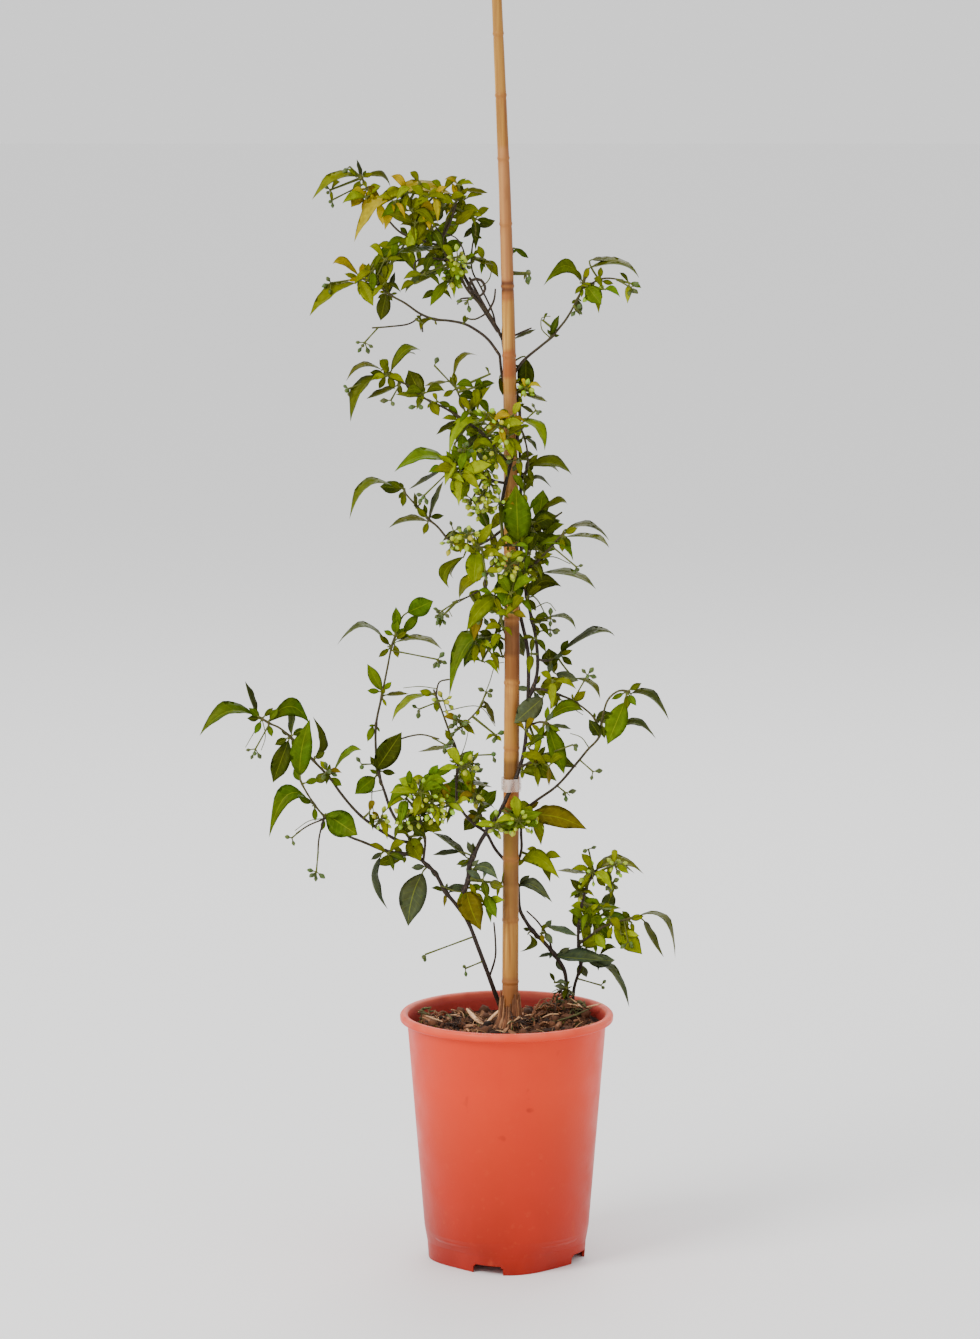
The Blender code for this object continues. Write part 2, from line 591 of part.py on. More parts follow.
def cut(obj, cutters, operation="DIFFERENCE", solver="EXACT"):
    """Cuts a whole collection out of an object, or joins it on, and applies that."""
    boolean = obj.modifiers.new("cut", "BOOLEAN")
    boolean.operation = operation
    boolean.operand_type = "COLLECTION"
    boolean.collection = cutters
    boolean.solver = solver
    made = applied(obj, weld=solver == "EXACT")
    for other in list(cutters.objects):
        bpy.data.objects.remove(other)
    bpy.data.collections.remove(cutters)
    return made


def cylinder(name, radius, low, high, place, home, sides=16):
    """An upright cylinder between two heights, in millimetres."""
    mesh = bpy.data.meshes.new(name)
    work = bmesh.new()
    bmesh.ops.create_cone(work, cap_ends=True, segments=sides, radius1=radius * MM, radius2=radius * MM,
                          depth=(high - low) * MM)
    work.to_mesh(mesh)
    work.free()
    obj = mesh_object(name, mesh, home)
    obj.location = Vector((place[0], place[1], (low + high) / 2)) * MM
    return obj


def square_foot(obj):
    """Draws the foot in to a rounded square, fading out towards the pad in its middle."""
    for vertex in obj.data.vertices:
        x, y, z = vertex.co / MM
        r = math.hypot(x, y)
        if z > FOOT_Z + GAP + 0.05 or r < PAD_R + 4.0:
            continue
        share = min(1.0, (r - PAD_R - 4.0) / (BODY_LOW_R - 8.0 - PAD_R - 4.0))
        draw = 1.0 - FOOT_SQUARE * share * (1.0 - math.cos(4.0 * math.atan2(y, x))) / 2.0
        vertex.co.x *= draw
        vertex.co.y *= draw


def body_r(z):
    """The pot's outer radius at a height above the foot band."""
    return BODY_LOW_R + (BODY_TOP_R - BODY_LOW_R) * (z - BODY_Z) / (RIM_Z - LIP_H - BODY_Z)


def make_pot(home):
    """The turned pot, with the four notches of its foot and its drain holes."""
    lip_low = RIM_Z - LIP_H
    inner_top = body_r(RIM_Z) - WALL
    profile = [
        (0, PAD_WALL), (PAD_R, PAD_WALL), (PAD_R + 3, FLOOR_Z), (FOOT_R - 3.2, FLOOR_Z),
        (FOOT_R - 1.7, FOOT_Z), (body_r(BODY_Z + 1.2) - WALL, BODY_Z + 1.2),
        (body_r(lip_low) - WALL, lip_low), (inner_top + 0.6, RIM_Z - 1.2),
        (inner_top + 2.2, RIM_Z), (RIM_R - 1.6, RIM_Z), (RIM_R - 0.1, RIM_Z - 1.8),
        (RIM_R - 0.3, lip_low + 1.0), (RIM_R - 1.6, lip_low), (body_r(lip_low), lip_low - 0.4),
        (body_r(BODY_Z), BODY_Z), (FOOT_R, FOOT_Z), (FOOT_R - 1.0, 0), (FOOT_R - 2.8, 0),
        (FOOT_R - 2.6, FLOOR_Z - 1.6), (PAD_R + 4.5, FLOOR_Z - 1.6), (PAD_R + 1.5, 0), (0, 0),
    ]
    pot = turned("pot", profile, home)
    square_foot(pot)
    cutters = collection("pot cutters")
    for i in range(4):
        turn = NOTCH_TURN + i * math.pi / 2
        bpy.ops.mesh.primitive_cube_add(size=1.0)
        notch = bpy.context.object
        notch.users_collection[0].objects.unlink(notch)
        cutters.objects.link(notch)
        notch.scale = Vector((18.0, NOTCH_W, 2 * NOTCH_H)) * MM
        notch.rotation_euler = (0, 0, turn)
        notch.location = Vector((math.cos(turn), math.sin(turn), 0)) * (52.0 * MM)
        hole = turn + math.pi / 4
        place = (DRAIN_RING * math.cos(hole), DRAIN_RING * math.sin(hole))
        cylinder("drain", DRAIN_R, 3, 10, place, cutters, 12)
    return finished(cut(pot, cutters), COLOURS["pot"], 0.42)


def soil_height(x, y):
    """The height of the potting mix over a point."""
    waves = 0.9 * math.sin(0.21 * x + 1.0) * math.cos(0.17 * y) + 0.6 * math.sin(0.4 * x + 0.35 * y)
    height = SOIL_Z + waves
    for mx, my, reach, rise in SOIL_MOUNDS:
        height += rise * math.exp(-((x - mx) ** 2 + (y - my) ** 2) / reach ** 2)
    return height


def make_soil(home):
    """The potting mix that fills the pot, uneven on top, with bark chips and holes for cane and stems."""
    side = body_r(SOIL_Z) - WALL - GAP
    rings = [side * share for share in (0.0, 0.2, 0.4, 0.62, 0.84, 1.0)]
    profile = [(r, SOIL_Z) for r in rings]
    profile += [
        (body_r(BODY_Z + 1.9) - WALL - GAP, BODY_Z + 1.9), (FOOT_R - 1.9 - GAP, FOOT_Z + GAP),
        (FOOT_R - 3.2 - GAP, FLOOR_Z + GAP), (PAD_R + 3 - GAP, FLOOR_Z + GAP),
        (PAD_R - GAP, PAD_WALL + GAP), (0, PAD_WALL + GAP),
    ]
    soil = turned("soil", profile, home)
    for vertex in soil.data.vertices:
        x, y, z = vertex.co / MM
        if z > SOIL_Z - 1.0:
            lift = soil_height(x, y) - SOIL_Z
            vertex.co.z += min(lift, 4.0 if math.hypot(x, y) > 0.95 * side else lift) * MM
    square_foot(soil)
    draw = random.Random(SOIL_SEED)
    chips = collection("soil chips")
    for _ in range(CHIPS):
        turn = draw.uniform(0, 2 * math.pi)
        out = side * math.sqrt(draw.uniform(0.03, 0.68))
        x, y = out * math.cos(turn), out * math.sin(turn)
        bpy.ops.mesh.primitive_cube_add(size=1.0)
        chip = bpy.context.object
        chip.users_collection[0].objects.unlink(chip)
        chips.objects.link(chip)
        chip.scale = Vector((draw.uniform(7, 16), draw.uniform(2.2, 4.5), draw.uniform(1.6, 2.6))) * MM
        chip.rotation_euler = (draw.uniform(-0.4, 0.4), draw.uniform(-0.55, 0.55), draw.uniform(0, math.pi))
        chip.location = Vector((x, y, soil_height(x, y) + draw.uniform(-0.4, 0.8))) * MM
    soil = cut(soil, chips, "UNION")
    holes = collection("soil holes")
    x, r = along_cane(CANE_LINE[0][0])
    cylinder("hole", r + GAP + 0.35, CANE_LINE[0][0] - GAP, RIM_Z + 20, (x, 0), holes)
    for name, stem in STEMS.items():
        if stem.parent == "soil":
            foot, top = seen(*stem.route[0]), seen(*stem.route[1])
            cylinder("hole", stem.radii[0] + GAP + 0.15, foot.z - GAP, top.z + 20, foot, holes, 10)
    return finished(cut(soil, holes), COLOURS["soil"], 0.95)


def make_cane(home):
    """The bamboo cane, slightly bowed, with its rings and an open pith."""
    heights = [(CANE_LINE[0][0], 0.0)]
    for ring in CANE_RINGS:
        heights += [(ring - RING_HALF, 0.0), (ring + RING_HALF / 2, RING_PROUD)]
    heights.append((CANE_LINE[-1][0], 0.0))
    points = [Vector((along_cane(z)[0], 0, z)) for z, _ in heights]
    radii = [along_cane(z)[1] + proud for z, proud in heights]
    cane = tube("cane", points, radii, home, 2)
    cutters = collection("cane cutters")
    x, _ = CANE_LINE[-1][1:]
    top = CANE_LINE[-1][0]
    cylinder("pith", PITH_R, top - PITH_DEEP, top + 2, (x, 0), cutters, 8)
    return finished(cut(cane, cutters), COLOURS["cane"], 0.5)


def tie_outline(grow, routes):
    """The outline of a band round the cane and the stem beside it, grown by a thickness."""
    cane_x, cane_r = along_cane(TIE_Z + TIE_H / 2)
    rounds = [(Vector((cane_x, 0, 0)), cane_r + RING_PROUD + GAP + grow)]
    for place in between(routes["stem_twiner"][0]):
        if TIE_Z - 2 < place.point.z < TIE_Z + TIE_H + 2:
            rounds.append((Vector((place.point.x, place.point.y, 0)), place.radius + 2 * GAP + grow))
    outline = []
    for i in range(TIE_SIDES):
        turn = 2 * math.pi * i / TIE_SIDES
        way = Vector((math.cos(turn), math.sin(turn), 0))
        centre, r = max(rounds, key=lambda c: c[0].dot(way) + c[1])
        outline.append(centre + way * r)
    return outline


def make_tie(home, routes):
    """A clear tape band: an upright wall that follows its outline, closed above and below."""
    outer, inner = tie_outline(TIE_THICK, routes), tie_outline(0.0, routes)
    low, high = Vector((0, 0, TIE_Z)), Vector((0, 0, TIE_Z + TIE_H))
    mesh = bpy.data.meshes.new("tie")
    work = bmesh.new()
    rows = [[work.verts.new((p + level) * MM) for p in line]
            for line, level in ((outer, low), (outer, high), (inner, high), (inner, low))]
    for row, following in zip(rows, rows[1:] + rows[:1]):
        for i in range(len(row)):
            j = (i + 1) % len(row)
            work.faces.new((row[i], row[j], following[j], following[i]))
    bmesh.ops.recalc_face_normals(work, faces=work.faces)
    work.to_mesh(mesh)
    work.free()
    return finished(mesh_object("tie", mesh, home), COLOURS["tie"], 0.25)


def seen(x, z, y):
    """The point at depth y behind (x, z) of the middle plane, on the line of sight from EYE."""
    on_plane = Vector((x, 0.0, z))
    return on_plane + (on_plane - EYE) * (y / -EYE.y)


def smooth(points, step):
    """A Catmull-Rom curve through points, with a point about every step."""
    ends = [points[0] * 2 - points[1]] + points + [points[-1] * 2 - points[-2]]
    made = []
    for a, b, c, d in zip(ends, ends[1:], ends[2:], ends[3:]):
        pieces = max(1, round((c - b).length / step))
        for i in range(pieces):
            t = i / pieces
            made.append(0.5 * (2 * b + (c - a) * t + (2 * a - 5 * b + 4 * c - d) * t ** 2
                               + (3 * b - a - 3 * c + d) * t ** 3))
    return made + [points[-1]]


class Place(NamedTuple):
    """A point of a stem's middle line, with the stem's radius and direction there."""

    point: Vector
    radius: float
    way: Vector
    last: bool


def places(points, radii):
    """The places along one line, from its radii at foot and tip."""
    made = []
    for i, point in enumerate(points):
        t = i / (len(points) - 1)
        way = (points[min(i + 1, len(points) - 1)] - points[max(i - 1, 0)]).normalized()
        made.append(Place(point, radii[0] + (radii[1] - radii[0]) * t, way, i == len(points) - 1))
    return made


def between(line, steps=6):
    """Every place of a line with more filled in between them."""
    for a, b in zip(line, line[1:]):
        for i in range(steps):
            t = i / steps
            radius = a.radius + (b.radius - a.radius) * t
            yield Place(a.point.lerp(b.point, t), radius, b.point - a.point, False)
    yield line[-1]


def nearest(lines, measure):
    """The place on several lines that a measure puts first."""
    return min((place for line in lines for place in between(line)), key=measure)


def root_of(lines, spot):
    """The place that a leaf or spray grows from: the nearest as seen from EYE, clear of the stems' ends."""
    inner = [place for line in lines for place in list(between(line))[3:-2]]
    return min(inner, key=lambda place: (on_screen(place.point) - spot).length)


def seated(points, radius, parent_lines):
    """Starts a route GAP off the surface of the stem that it grows from."""
    root = nearest(parent_lines, lambda place: (place.point - points[0]).length)
    way = (points[1] - root.point).normalized()
    slope = min(1.0, abs(way.dot(root.way.normalized())))
    across = math.sqrt(1.0 - slope * slope)
    if root.last and slope > 0.7:
        reach = GAP + radius * across
    else:
        reach = (root.radius + GAP + radius * slope) / max(across, 0.4)
    return [root.point + way * reach] + points[1:]


def on_screen(point):
    """A point's x and z on the middle plane, as seen from EYE."""
    flat = EYE + (point - EYE) * (-EYE.y / (point.y - EYE.y))
    return Vector((flat.x, flat.z))


class Piece(NamedTuple):
    """A closed shape before it becomes an object."""

    points: list
    faces: list


def loft(rings, tip=None):
    """A closed shape through rings of as many points each, ending in a tip or a flat cap."""
    size = len(rings[0])
    points = [p for ring in rings for p in ring]
    faces = [tuple(range(size - 1, -1, -1))]
    for k in range(len(rings) - 1):
        for i in range(size):
            j = (i + 1) % size
            faces.append((k * size + i, k * size + j, (k + 1) * size + j, (k + 1) * size + i))
    start = (len(rings) - 1) * size
    if tip is None:
        faces.append(tuple(range(start, start + size)))
        return Piece(points, faces)
    points.append(tip)
    faces += [(start + i, start + (i + 1) % size, len(points) - 1) for i in range(size)]
    return Piece(points, faces)


def across_route(way, size, radius, centre):
    """A regular ring of points round a centre, across a direction."""
    way = way.normalized()
    side = way.cross(Vector((0.3, 0.2, 1.0))).normalized()
    up = side.cross(way)
    turns = [2 * math.pi * i / size for i in range(size)]
    return [centre + side * (radius * math.cos(t)) + up * (radius * math.sin(t)) for t in turns]


def leaf_line(leaf, root, near):
    """The middle line of a blade from foot to tip as a function of 0 to 1."""
    spots = [Vector(leaf[i:i + 2]) for i in range(2, len(leaf), 2)]
    if len(spots) == 2:
        spots.insert(1, (spots[0] + spots[1]) / 2)
    start = root.y - 0.12 * near

    def at(t):
        pull = 2.0 * spots[1] - 0.5 * (spots[0] + spots[2])
        flat = spots[0] * (1 - t) ** 2 + pull * (2 * t * (1 - t)) + spots[2] * t ** 2
        return seen(flat.x, flat.y, start - near * t)

    return at


def leaf_piece(leaf, root, near, index):
    """A blade on its petiole, with a keel, broadest a little before the middle and drawn out to a point."""
    at = leaf_line(leaf, root, near)
    width = leaf[0]
    foot, tip = at(0.0), at(1.0)
    length = (on_screen(tip) - on_screen(foot)).length
    real = max(width, LEAF_RATIO * length)
    turn = math.acos(min(1.0, width / real))
    shares = ((0.22, 0.76), (0.5, 1.0), (0.78, 0.62)) if length > BIG_LEAF else ((0.3, 0.92), (0.68, 0.78))
    way = (tip - foot).normalized()
    sight = (foot - EYE).normalized()
    side = way.cross(sight).normalized()
    front = side.cross(way).normalized()
    if front.dot(sight) > 0:
        front.negate()
    slope = 1.0 if abs(side.z) <= 1e-6 or (abs(side.z) < 0.05 and index % 2) else side.z
    lift = math.copysign(1.0, slope)
    across = side * math.cos(turn) - front * (lift * math.sin(turn))
    up = front * math.cos(turn) + side * (lift * math.sin(turn))
    stalk = (foot - root).normalized() if (foot - root).length > 0.5 else way
    at_root = way.rotation_difference(stalk)
    at_foot = way.rotation_difference(stalk + way if stalk.dot(way) > -0.8 else way)
    rings = [section(root - stalk * PETIOLE_R / 2, at_root @ across, at_root @ up, PETIOLE_R, PETIOLE_R)]
    if stalk.dot(way) < 0.9 or (foot - root).length > 4.0:
        rings.append(section(foot, at_foot @ across, at_foot @ up, PETIOLE_R, PETIOLE_R))
    rings += [section(at(t), across, up, real * share / 2, LEAF_KEEL) for t, share in shares]
    return loft(rings, tip)


def section(middle, across, up, half, keel):
    """A blade's section: its two edges and its midrib below."""
    return [middle - across * half, middle - up * keel, middle + across * half]


def limb(points, faces, face, stations, tip):
    """Draws one face of a shape out through stations (middle, radius), to a tip or a flat end."""
    faces.remove(face)
    middle = sum((points[i] for i in face), Vector()) / 3.0
    normal = (points[face[1]] - points[face[0]]).cross(points[face[2]] - points[face[0]]).normalized()
    ring, last = face, middle
    for centre, radius in stations:
        swing = normal.rotation_difference(centre - last)
        start = len(points)
        points += [centre + swing @ ((points[i] - middle).normalized() * radius) for i in face]
        following = (start, start + 1, start + 2)
        faces += [(ring[i], ring[(i + 1) % 3], following[(i + 1) % 3], following[i]) for i in range(3)]
        ring, last = following, centre
    if tip is None:
        faces.append(ring)
        return
    points.append(tip)
    faces += [(ring[i], ring[(i + 1) % 3], len(points) - 1) for i in range(3)]


def spray_piece(spray, root, near, index):
    """A peduncle, and up to seven pointed buds on stalks drawn out of the faces of the knot at its end."""
    x, z, _, spread, buds = spray
    heart = seen(x, z, root.y - near)
    way = (heart - root).normalized()
    side = way.cross(Vector((0.3, 0.2, 1.0))).normalized()
    up = way.cross(side)
    points = []
    for k in range(6):
        turn = index + k * math.pi / 3.0
        flat = (side * math.cos(turn) + up * math.sin(turn)) * math.sqrt(2.0 / 3.0)
        points.append(heart + (flat + way * (0.57735 if k % 2 == 0 else -0.57735)) * KNOT_R)
    ahead = [(0, 1, 2), (2, 3, 4), (4, 5, 0)]
    aside = [(1, 3, 2), (3, 5, 4), (5, 1, 0)]
    faces = ahead + [(0, 2, 4)] + aside + [(1, 5, 3)]
    limb(points, faces, (1, 5, 3), [(root, PEDUNCLE_R)], None)
    for i, face in enumerate((ahead + [(0, 2, 4)] + aside)[:buds]):
        normal = (points[face[1]] - points[face[0]]).cross(points[face[2]] - points[face[0]]).normalized()
        aim = (normal + Vector((0.0, 0.0, -0.25))).normalized()
        reach = max(2.0, spread * (0.75 + 0.25 * math.sin(3.1 * i + index)) - BUD_L / 2)
        neck = heart + aim * reach
        belly = neck + aim * (0.4 * BUD_L)
        limb(points, faces, face, [(neck, PEDICEL_R), (belly, BUD_R)], neck + aim * BUD_L)
    return Piece(points, faces)


class Crowd:
    """What stands already, by node, to keep new pieces clear of it."""

    def __init__(self):
        self.placed = []

    def add(self, node, points, faces):
        low = Vector(min(p[i] for p in points) for i in range(3))
        high = Vector(max(p[i] for p in points) for i in range(3))
        tree = BVHTree.FromPolygons(points, faces)
        self.placed.append((node, low, high, tree, points))

    def add_object(self, node, obj):
        points = [obj.matrix_world @ v.co / MM for v in obj.data.vertices]
        self.add(node, points, [tuple(p.vertices) for p in obj.data.polygons])

    def clear(self, node, piece, margin=GAP + 0.05):
        """Whether a piece keeps its margin from everything of other nodes."""
        low = [min(p[i] for p in piece.points) - margin for i in range(3)]
        high = [max(p[i] for p in piece.points) + margin for i in range(3)]
        tree = None
        for other, a, b, standing, points in self.placed:
            if other == node or any(high[i] < a[i] or low[i] > b[i] for i in range(3)):
                continue
            tree = tree or BVHTree.FromPolygons(piece.points, piece.faces)
            if tree.overlap(standing):
                return False
            if any(standing.find_nearest(p, margin)[0] is not None for p in piece.points):
                return False
            if any(tree.find_nearest(p, margin)[0] is not None for p in points):
                return False
        return True


def bends():
    """How much further towards the eye, or away, a piece is tried, nearest first."""
    yield 0.0
    for i in range(1, BEND_TRIES):
        yield i * BEND_STEP
        yield -i * BEND_STEP


def bent_clear(node, crowd, shaped):
    """The first of a piece's bends that is clear of what stands already, or none."""
    for bend in bends():
        piece = shaped(bend)
        if crowd.clear(node, piece):
            crowd.add(node, piece.points, piece.faces)
            return [piece]
    return []


def grow(node, stem, routes, crowd):
    """The leaves and sprays of one stem, each bent clear of what stands already."""
    draw = random.Random(BEHIND_SEED + len(node))
    grown = []
    for index, leaf in enumerate(stem.leaves):
        root = root_of(routes[node], Vector(leaf[2:4])).point
        grown += bent_clear(node, crowd, lambda bend: leaf_piece(leaf, root, leaf[1] + bend, index))
        if leaf[0] >= BEHIND_WIDTH and "back" not in node and draw.random() < BEHIND_SHARE:
            behind = partner(leaf, draw.uniform(*BEHIND_SIZE))
            near = leaf[1] - draw.uniform(*BEHIND_BEND)
            grown += bent_clear(node, crowd, lambda bend: leaf_piece(behind, root, near + bend, index))
    for index, spray in enumerate(stem.sprays):
        root = root_of(routes[node], Vector(spray[:2])).point
        grown += bent_clear(node, crowd, lambda bend: spray_piece(spray, root, spray[2] + bend, index))
    return grown


def partner(leaf, share):
    """A shorter leaf that grows to the back from the same spot, hidden by the first."""
    foot = leaf[2:4]
    shrunk = [foot[i % 2] + (value - foot[i % 2]) * share for i, value in enumerate(leaf[2:])]
    return (leaf[0] * share, leaf[1], *shrunk)


def piece_object(name, piece, home):
    """A mesh object from a closed shape, its faces turned out and cut into triangles."""
    mesh = bpy.data.meshes.new(name)
    mesh.from_pydata([p * MM for p in piece.points], [], piece.faces)
    work = bmesh.new()
    work.from_mesh(mesh)
    bmesh.ops.recalc_face_normals(work, faces=work.faces)
    bmesh.ops.triangulate(work, faces=work.faces)
    work.to_mesh(mesh)
    work.free()
    return mesh_object(name, mesh, home)


def make_stems(home):
    """The bare stems first, so that every leaf can be kept clear of them; returns their middle lines."""
    routes = {}
    stems = {}
    for name, stem in STEMS.items():
        woody = name.startswith("stem")
        points = [seen(*p) for p in stem.route]
        if stem.parent != "soil":
            points = seated(points, stem.radii[0], routes[stem.parent])
        lines = [places(smooth(points, STEM_STEP if woody else SHOOT_STEP), stem.radii)]
        for twig in stem.twigs:
            root = root_of(lines, Vector(twig[0][:2])).point
            points = smooth([root] + [seen(*p) for p in twig[1:]], SHOOT_STEP)
            lines.append(places(points, (min(TWIG_R, stem.radii[1]), PETIOLE_R)))
        routes[name] = lines
        around = 1 if woody else 0
        stems[name] = [tube(name, [p.point for p in line], [p.radius for p in line], home, around)
                       for line in lines]
    return routes, stems


def make_plant(home, cane):
    """Every stem with its leaves and sprays joined on."""
    routes, stems = make_stems(home)
    tie = make_tie(home, routes)
    crowd = Crowd()
    crowd.add_object("cane", cane)
    crowd.add_object("tie", tie)
    for name, tubes in stems.items():
        for obj in tubes:
            crowd.add_object(name, obj)
    for name, stem in STEMS.items():
        grown = collection(name + " pieces")
        for piece in grow(name, stem, routes, crowd):
            piece_object(name + " piece", piece, grown)
        for twig in stems[name][1:]:
            home.objects.unlink(twig)
            grown.objects.link(twig)
        kind = name.split("_")[0]
        finished(lighter(whole(cut(stems[name][0], grown, "UNION", "MANIFOLD"))), COLOURS[kind], 0.5)


def main():
    clear_scene()
    home = collection("potted star jasmine")
    make_pot(home)
    make_soil(home)
    cane = make_cane(home)
    make_plant(home, cane)


main()
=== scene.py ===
"""A young star jasmine in a terracotta-coloured nursery pot, twined up a bamboo cane.

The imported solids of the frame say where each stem, leaf and spray of buds stands, and this script gives
them their fine shape and finish. The plant's tables are in millimetres, as in the part's own source: x and
z on the upright plane through the pot's middle as seen from EYE, and a depth y, positive to the back, that
carries a point along the line of sight. Finished meshes are in metres, with their object at the origin.
"""

import json
import logging
import random
from collections.abc import Iterator
from dataclasses import dataclass
from enum import Enum
from math import acos, atan2, copysign, cos, exp, hypot, inf, pi, radians, sin, sqrt
from typing import NamedTuple

import bmesh
import bpy
from bpy.types import Material, Mesh, Node, NodeSocket, NodeTree, Object
from mathutils import Euler, Matrix, Vector, kdtree, noise

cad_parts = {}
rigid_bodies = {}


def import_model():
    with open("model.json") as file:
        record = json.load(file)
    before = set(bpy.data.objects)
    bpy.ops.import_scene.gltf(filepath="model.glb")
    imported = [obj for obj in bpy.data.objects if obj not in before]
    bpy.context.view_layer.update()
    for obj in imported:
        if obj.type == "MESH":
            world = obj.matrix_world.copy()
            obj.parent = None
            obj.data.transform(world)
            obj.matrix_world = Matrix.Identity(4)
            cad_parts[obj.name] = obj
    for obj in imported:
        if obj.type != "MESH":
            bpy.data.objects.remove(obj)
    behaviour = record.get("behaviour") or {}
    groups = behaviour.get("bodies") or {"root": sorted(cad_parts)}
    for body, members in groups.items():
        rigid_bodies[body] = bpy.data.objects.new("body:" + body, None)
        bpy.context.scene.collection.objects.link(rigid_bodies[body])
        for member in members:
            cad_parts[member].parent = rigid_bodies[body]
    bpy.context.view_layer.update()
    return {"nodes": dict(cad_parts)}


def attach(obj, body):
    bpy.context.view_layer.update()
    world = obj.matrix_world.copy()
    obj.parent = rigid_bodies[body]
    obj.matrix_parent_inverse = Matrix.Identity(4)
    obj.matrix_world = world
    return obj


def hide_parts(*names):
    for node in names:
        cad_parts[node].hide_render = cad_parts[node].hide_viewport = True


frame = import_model()
LOG = logging.getLogger("potted star jasmine")

MM = 0.001
EYE = Vector((-11.7, -4000.0, 1044.8))
UP = Vector((0.0, 0.0, 1.0))
NOISE_SEED = 1
SORTING = Vector((1.0, 3.7, 9.1))

# The play between solids, what counts as none, and the turn from each thing to the next in a spiral
GAP = 0.3
AT_AXIS = 0.01
TINY = 1e-6
SPIRAL = 2.4

# Cane: height, x of its axis and its radius, then the heights of its rings
CANE_LINE = ((24, 2.5, 5.9), (200, 2.5, 5.75), (300, 2.9, 5.6), (430, 3.7, 5.3), (600, 2.2, 4.7),
             (650, 1.3, 4.55), (700, 0.0, 4.3), (750, -1.5, 4.1), (881, -7.0, 3.5), (917, -8.5, 3.4))
CANE_RINGS = (197, 241, 285, 318, 363, 409, 454, 500, 545, 590, 637, 685, 728, 773, 816, 858, 899)

# Growth rules that the solids share
STEM_STEP = 12.0
SHOOT_STEP = 16.0
FINE_STEP = 2.5
LEAF_RATIO = 0.36
PETIOLE_R = 0.6
TWIG_R = 0.8
BUD_L = 4.2
END_SLOPE = 0.7
LEAST_ACROSS = 0.4
FOOT_BEND = 0.12
LEVEL_SIDE = 0.05
BEND_STEP = 4.0
BEND_TRIES = 13
BEHIND_SEED = 5
BEHIND_SHARE = 0.22
BEHIND_WIDTH = 6.5
BEHIND_BEND = (26.0, 38.0)
BEHIND_SIZE = (0.7, 0.85)


def linear(rgb: tuple[int, int, int]) -> tuple[float, float, float]:
    """Turns a colour out of 255, as seen on a screen, into linear light."""
    return tuple(((c / 255 + 0.055) / 1.055) ** 2.4 if c > 10 else c / 255 / 12.92 for c in rgb)


def rgba(value: object) -> object:
    """A shader colour from one out of 255. Anything else stays as it is."""
    return (*linear(value), 1.0) if isinstance(value, tuple) and len(value) == 3 else value


class Tone(Enum):
    """The leaf colours of the plant, by the letter that the tables use; d and k paint shade."""

    b = (66, 92, 4)
    l = (108, 124, 4)
    o = (82, 88, 4)
    h = (142, 122, 6)
    y = (99, 110, 4)
    # d and k: darker copies of the greens, painted shade for shadowed and edge-on leaves
    d = (36, 50, 6)
    k = (64, 74, 4)
    g = (58, 70, 54)
    n = (92, 77, 10)
    m = (54, 80, 4)


class Kind(Enum):
    """What a point of a stem's host mesh becomes."""

    LINE = 0
    LEAF = 1
    BUD = 2


class Stem(NamedTuple):
    """A leafy stem: its parent, its radii at foot and tip, its route, and what grows on it.

    A route point is (x, z, y). A leaf is (tone, width, near, x, z, ...), its places from blade foot to tip
    and how far the tip comes towards the eye. A spray is (x, z, near, spread, buds).
    """

    parent: str
    radii: tuple[float, float]
    route: list
    leaves: list
    sprays: list = ()
    twigs: list = ()


def along_cane(z: float) -> tuple[float, float]:
    """The cane's axis and radius at a height."""
    for (z0, x0, r0), (z1, x1, r1) in zip(CANE_LINE, CANE_LINE[1:]):
        if z <= z1:
            t = max(0.0, (z - z0) / (z1 - z0))
            return x0 + (x1 - x0) * t, r0 + (r1 - r0) * t
    return CANE_LINE[-1][1:]


def seen(x: float, z: float, y: float) -> Vector:
    """The point at depth y behind (x, z) of the middle plane, on the line of sight from EYE."""
    on_plane = Vector((x, 0.0, z))
    return on_plane + (on_plane - EYE) * (y / -EYE.y)


def on_screen(point: Vector) -> Vector:
    """A point's x and z on the middle plane, as seen from EYE."""
    flat = EYE + (point - EYE) * (-EYE.y / (point.y - EYE.y))
    return Vector((flat.x, flat.z))


def twined(z: float, turn: float, off: float = 0.6, radius: float = 1.4) -> tuple[float, float, float]:
    """A route point of a stem that winds round the cane.

    Args:
        z: Its height.
        turn: Where round the cane, in degrees: 0 at the right, 90 at the back.
        off: How far the stem stands off the cane.
        radius: The stem's radius.

    Returns:
        The point as x, z and y.
    """
    x, r = along_cane(z)
    out = r + off + radius
    y = out * sin(radians(turn))
    flat = on_screen(Vector((x + out * cos(radians(turn)), y, z)))
    return flat.x, flat.y, y


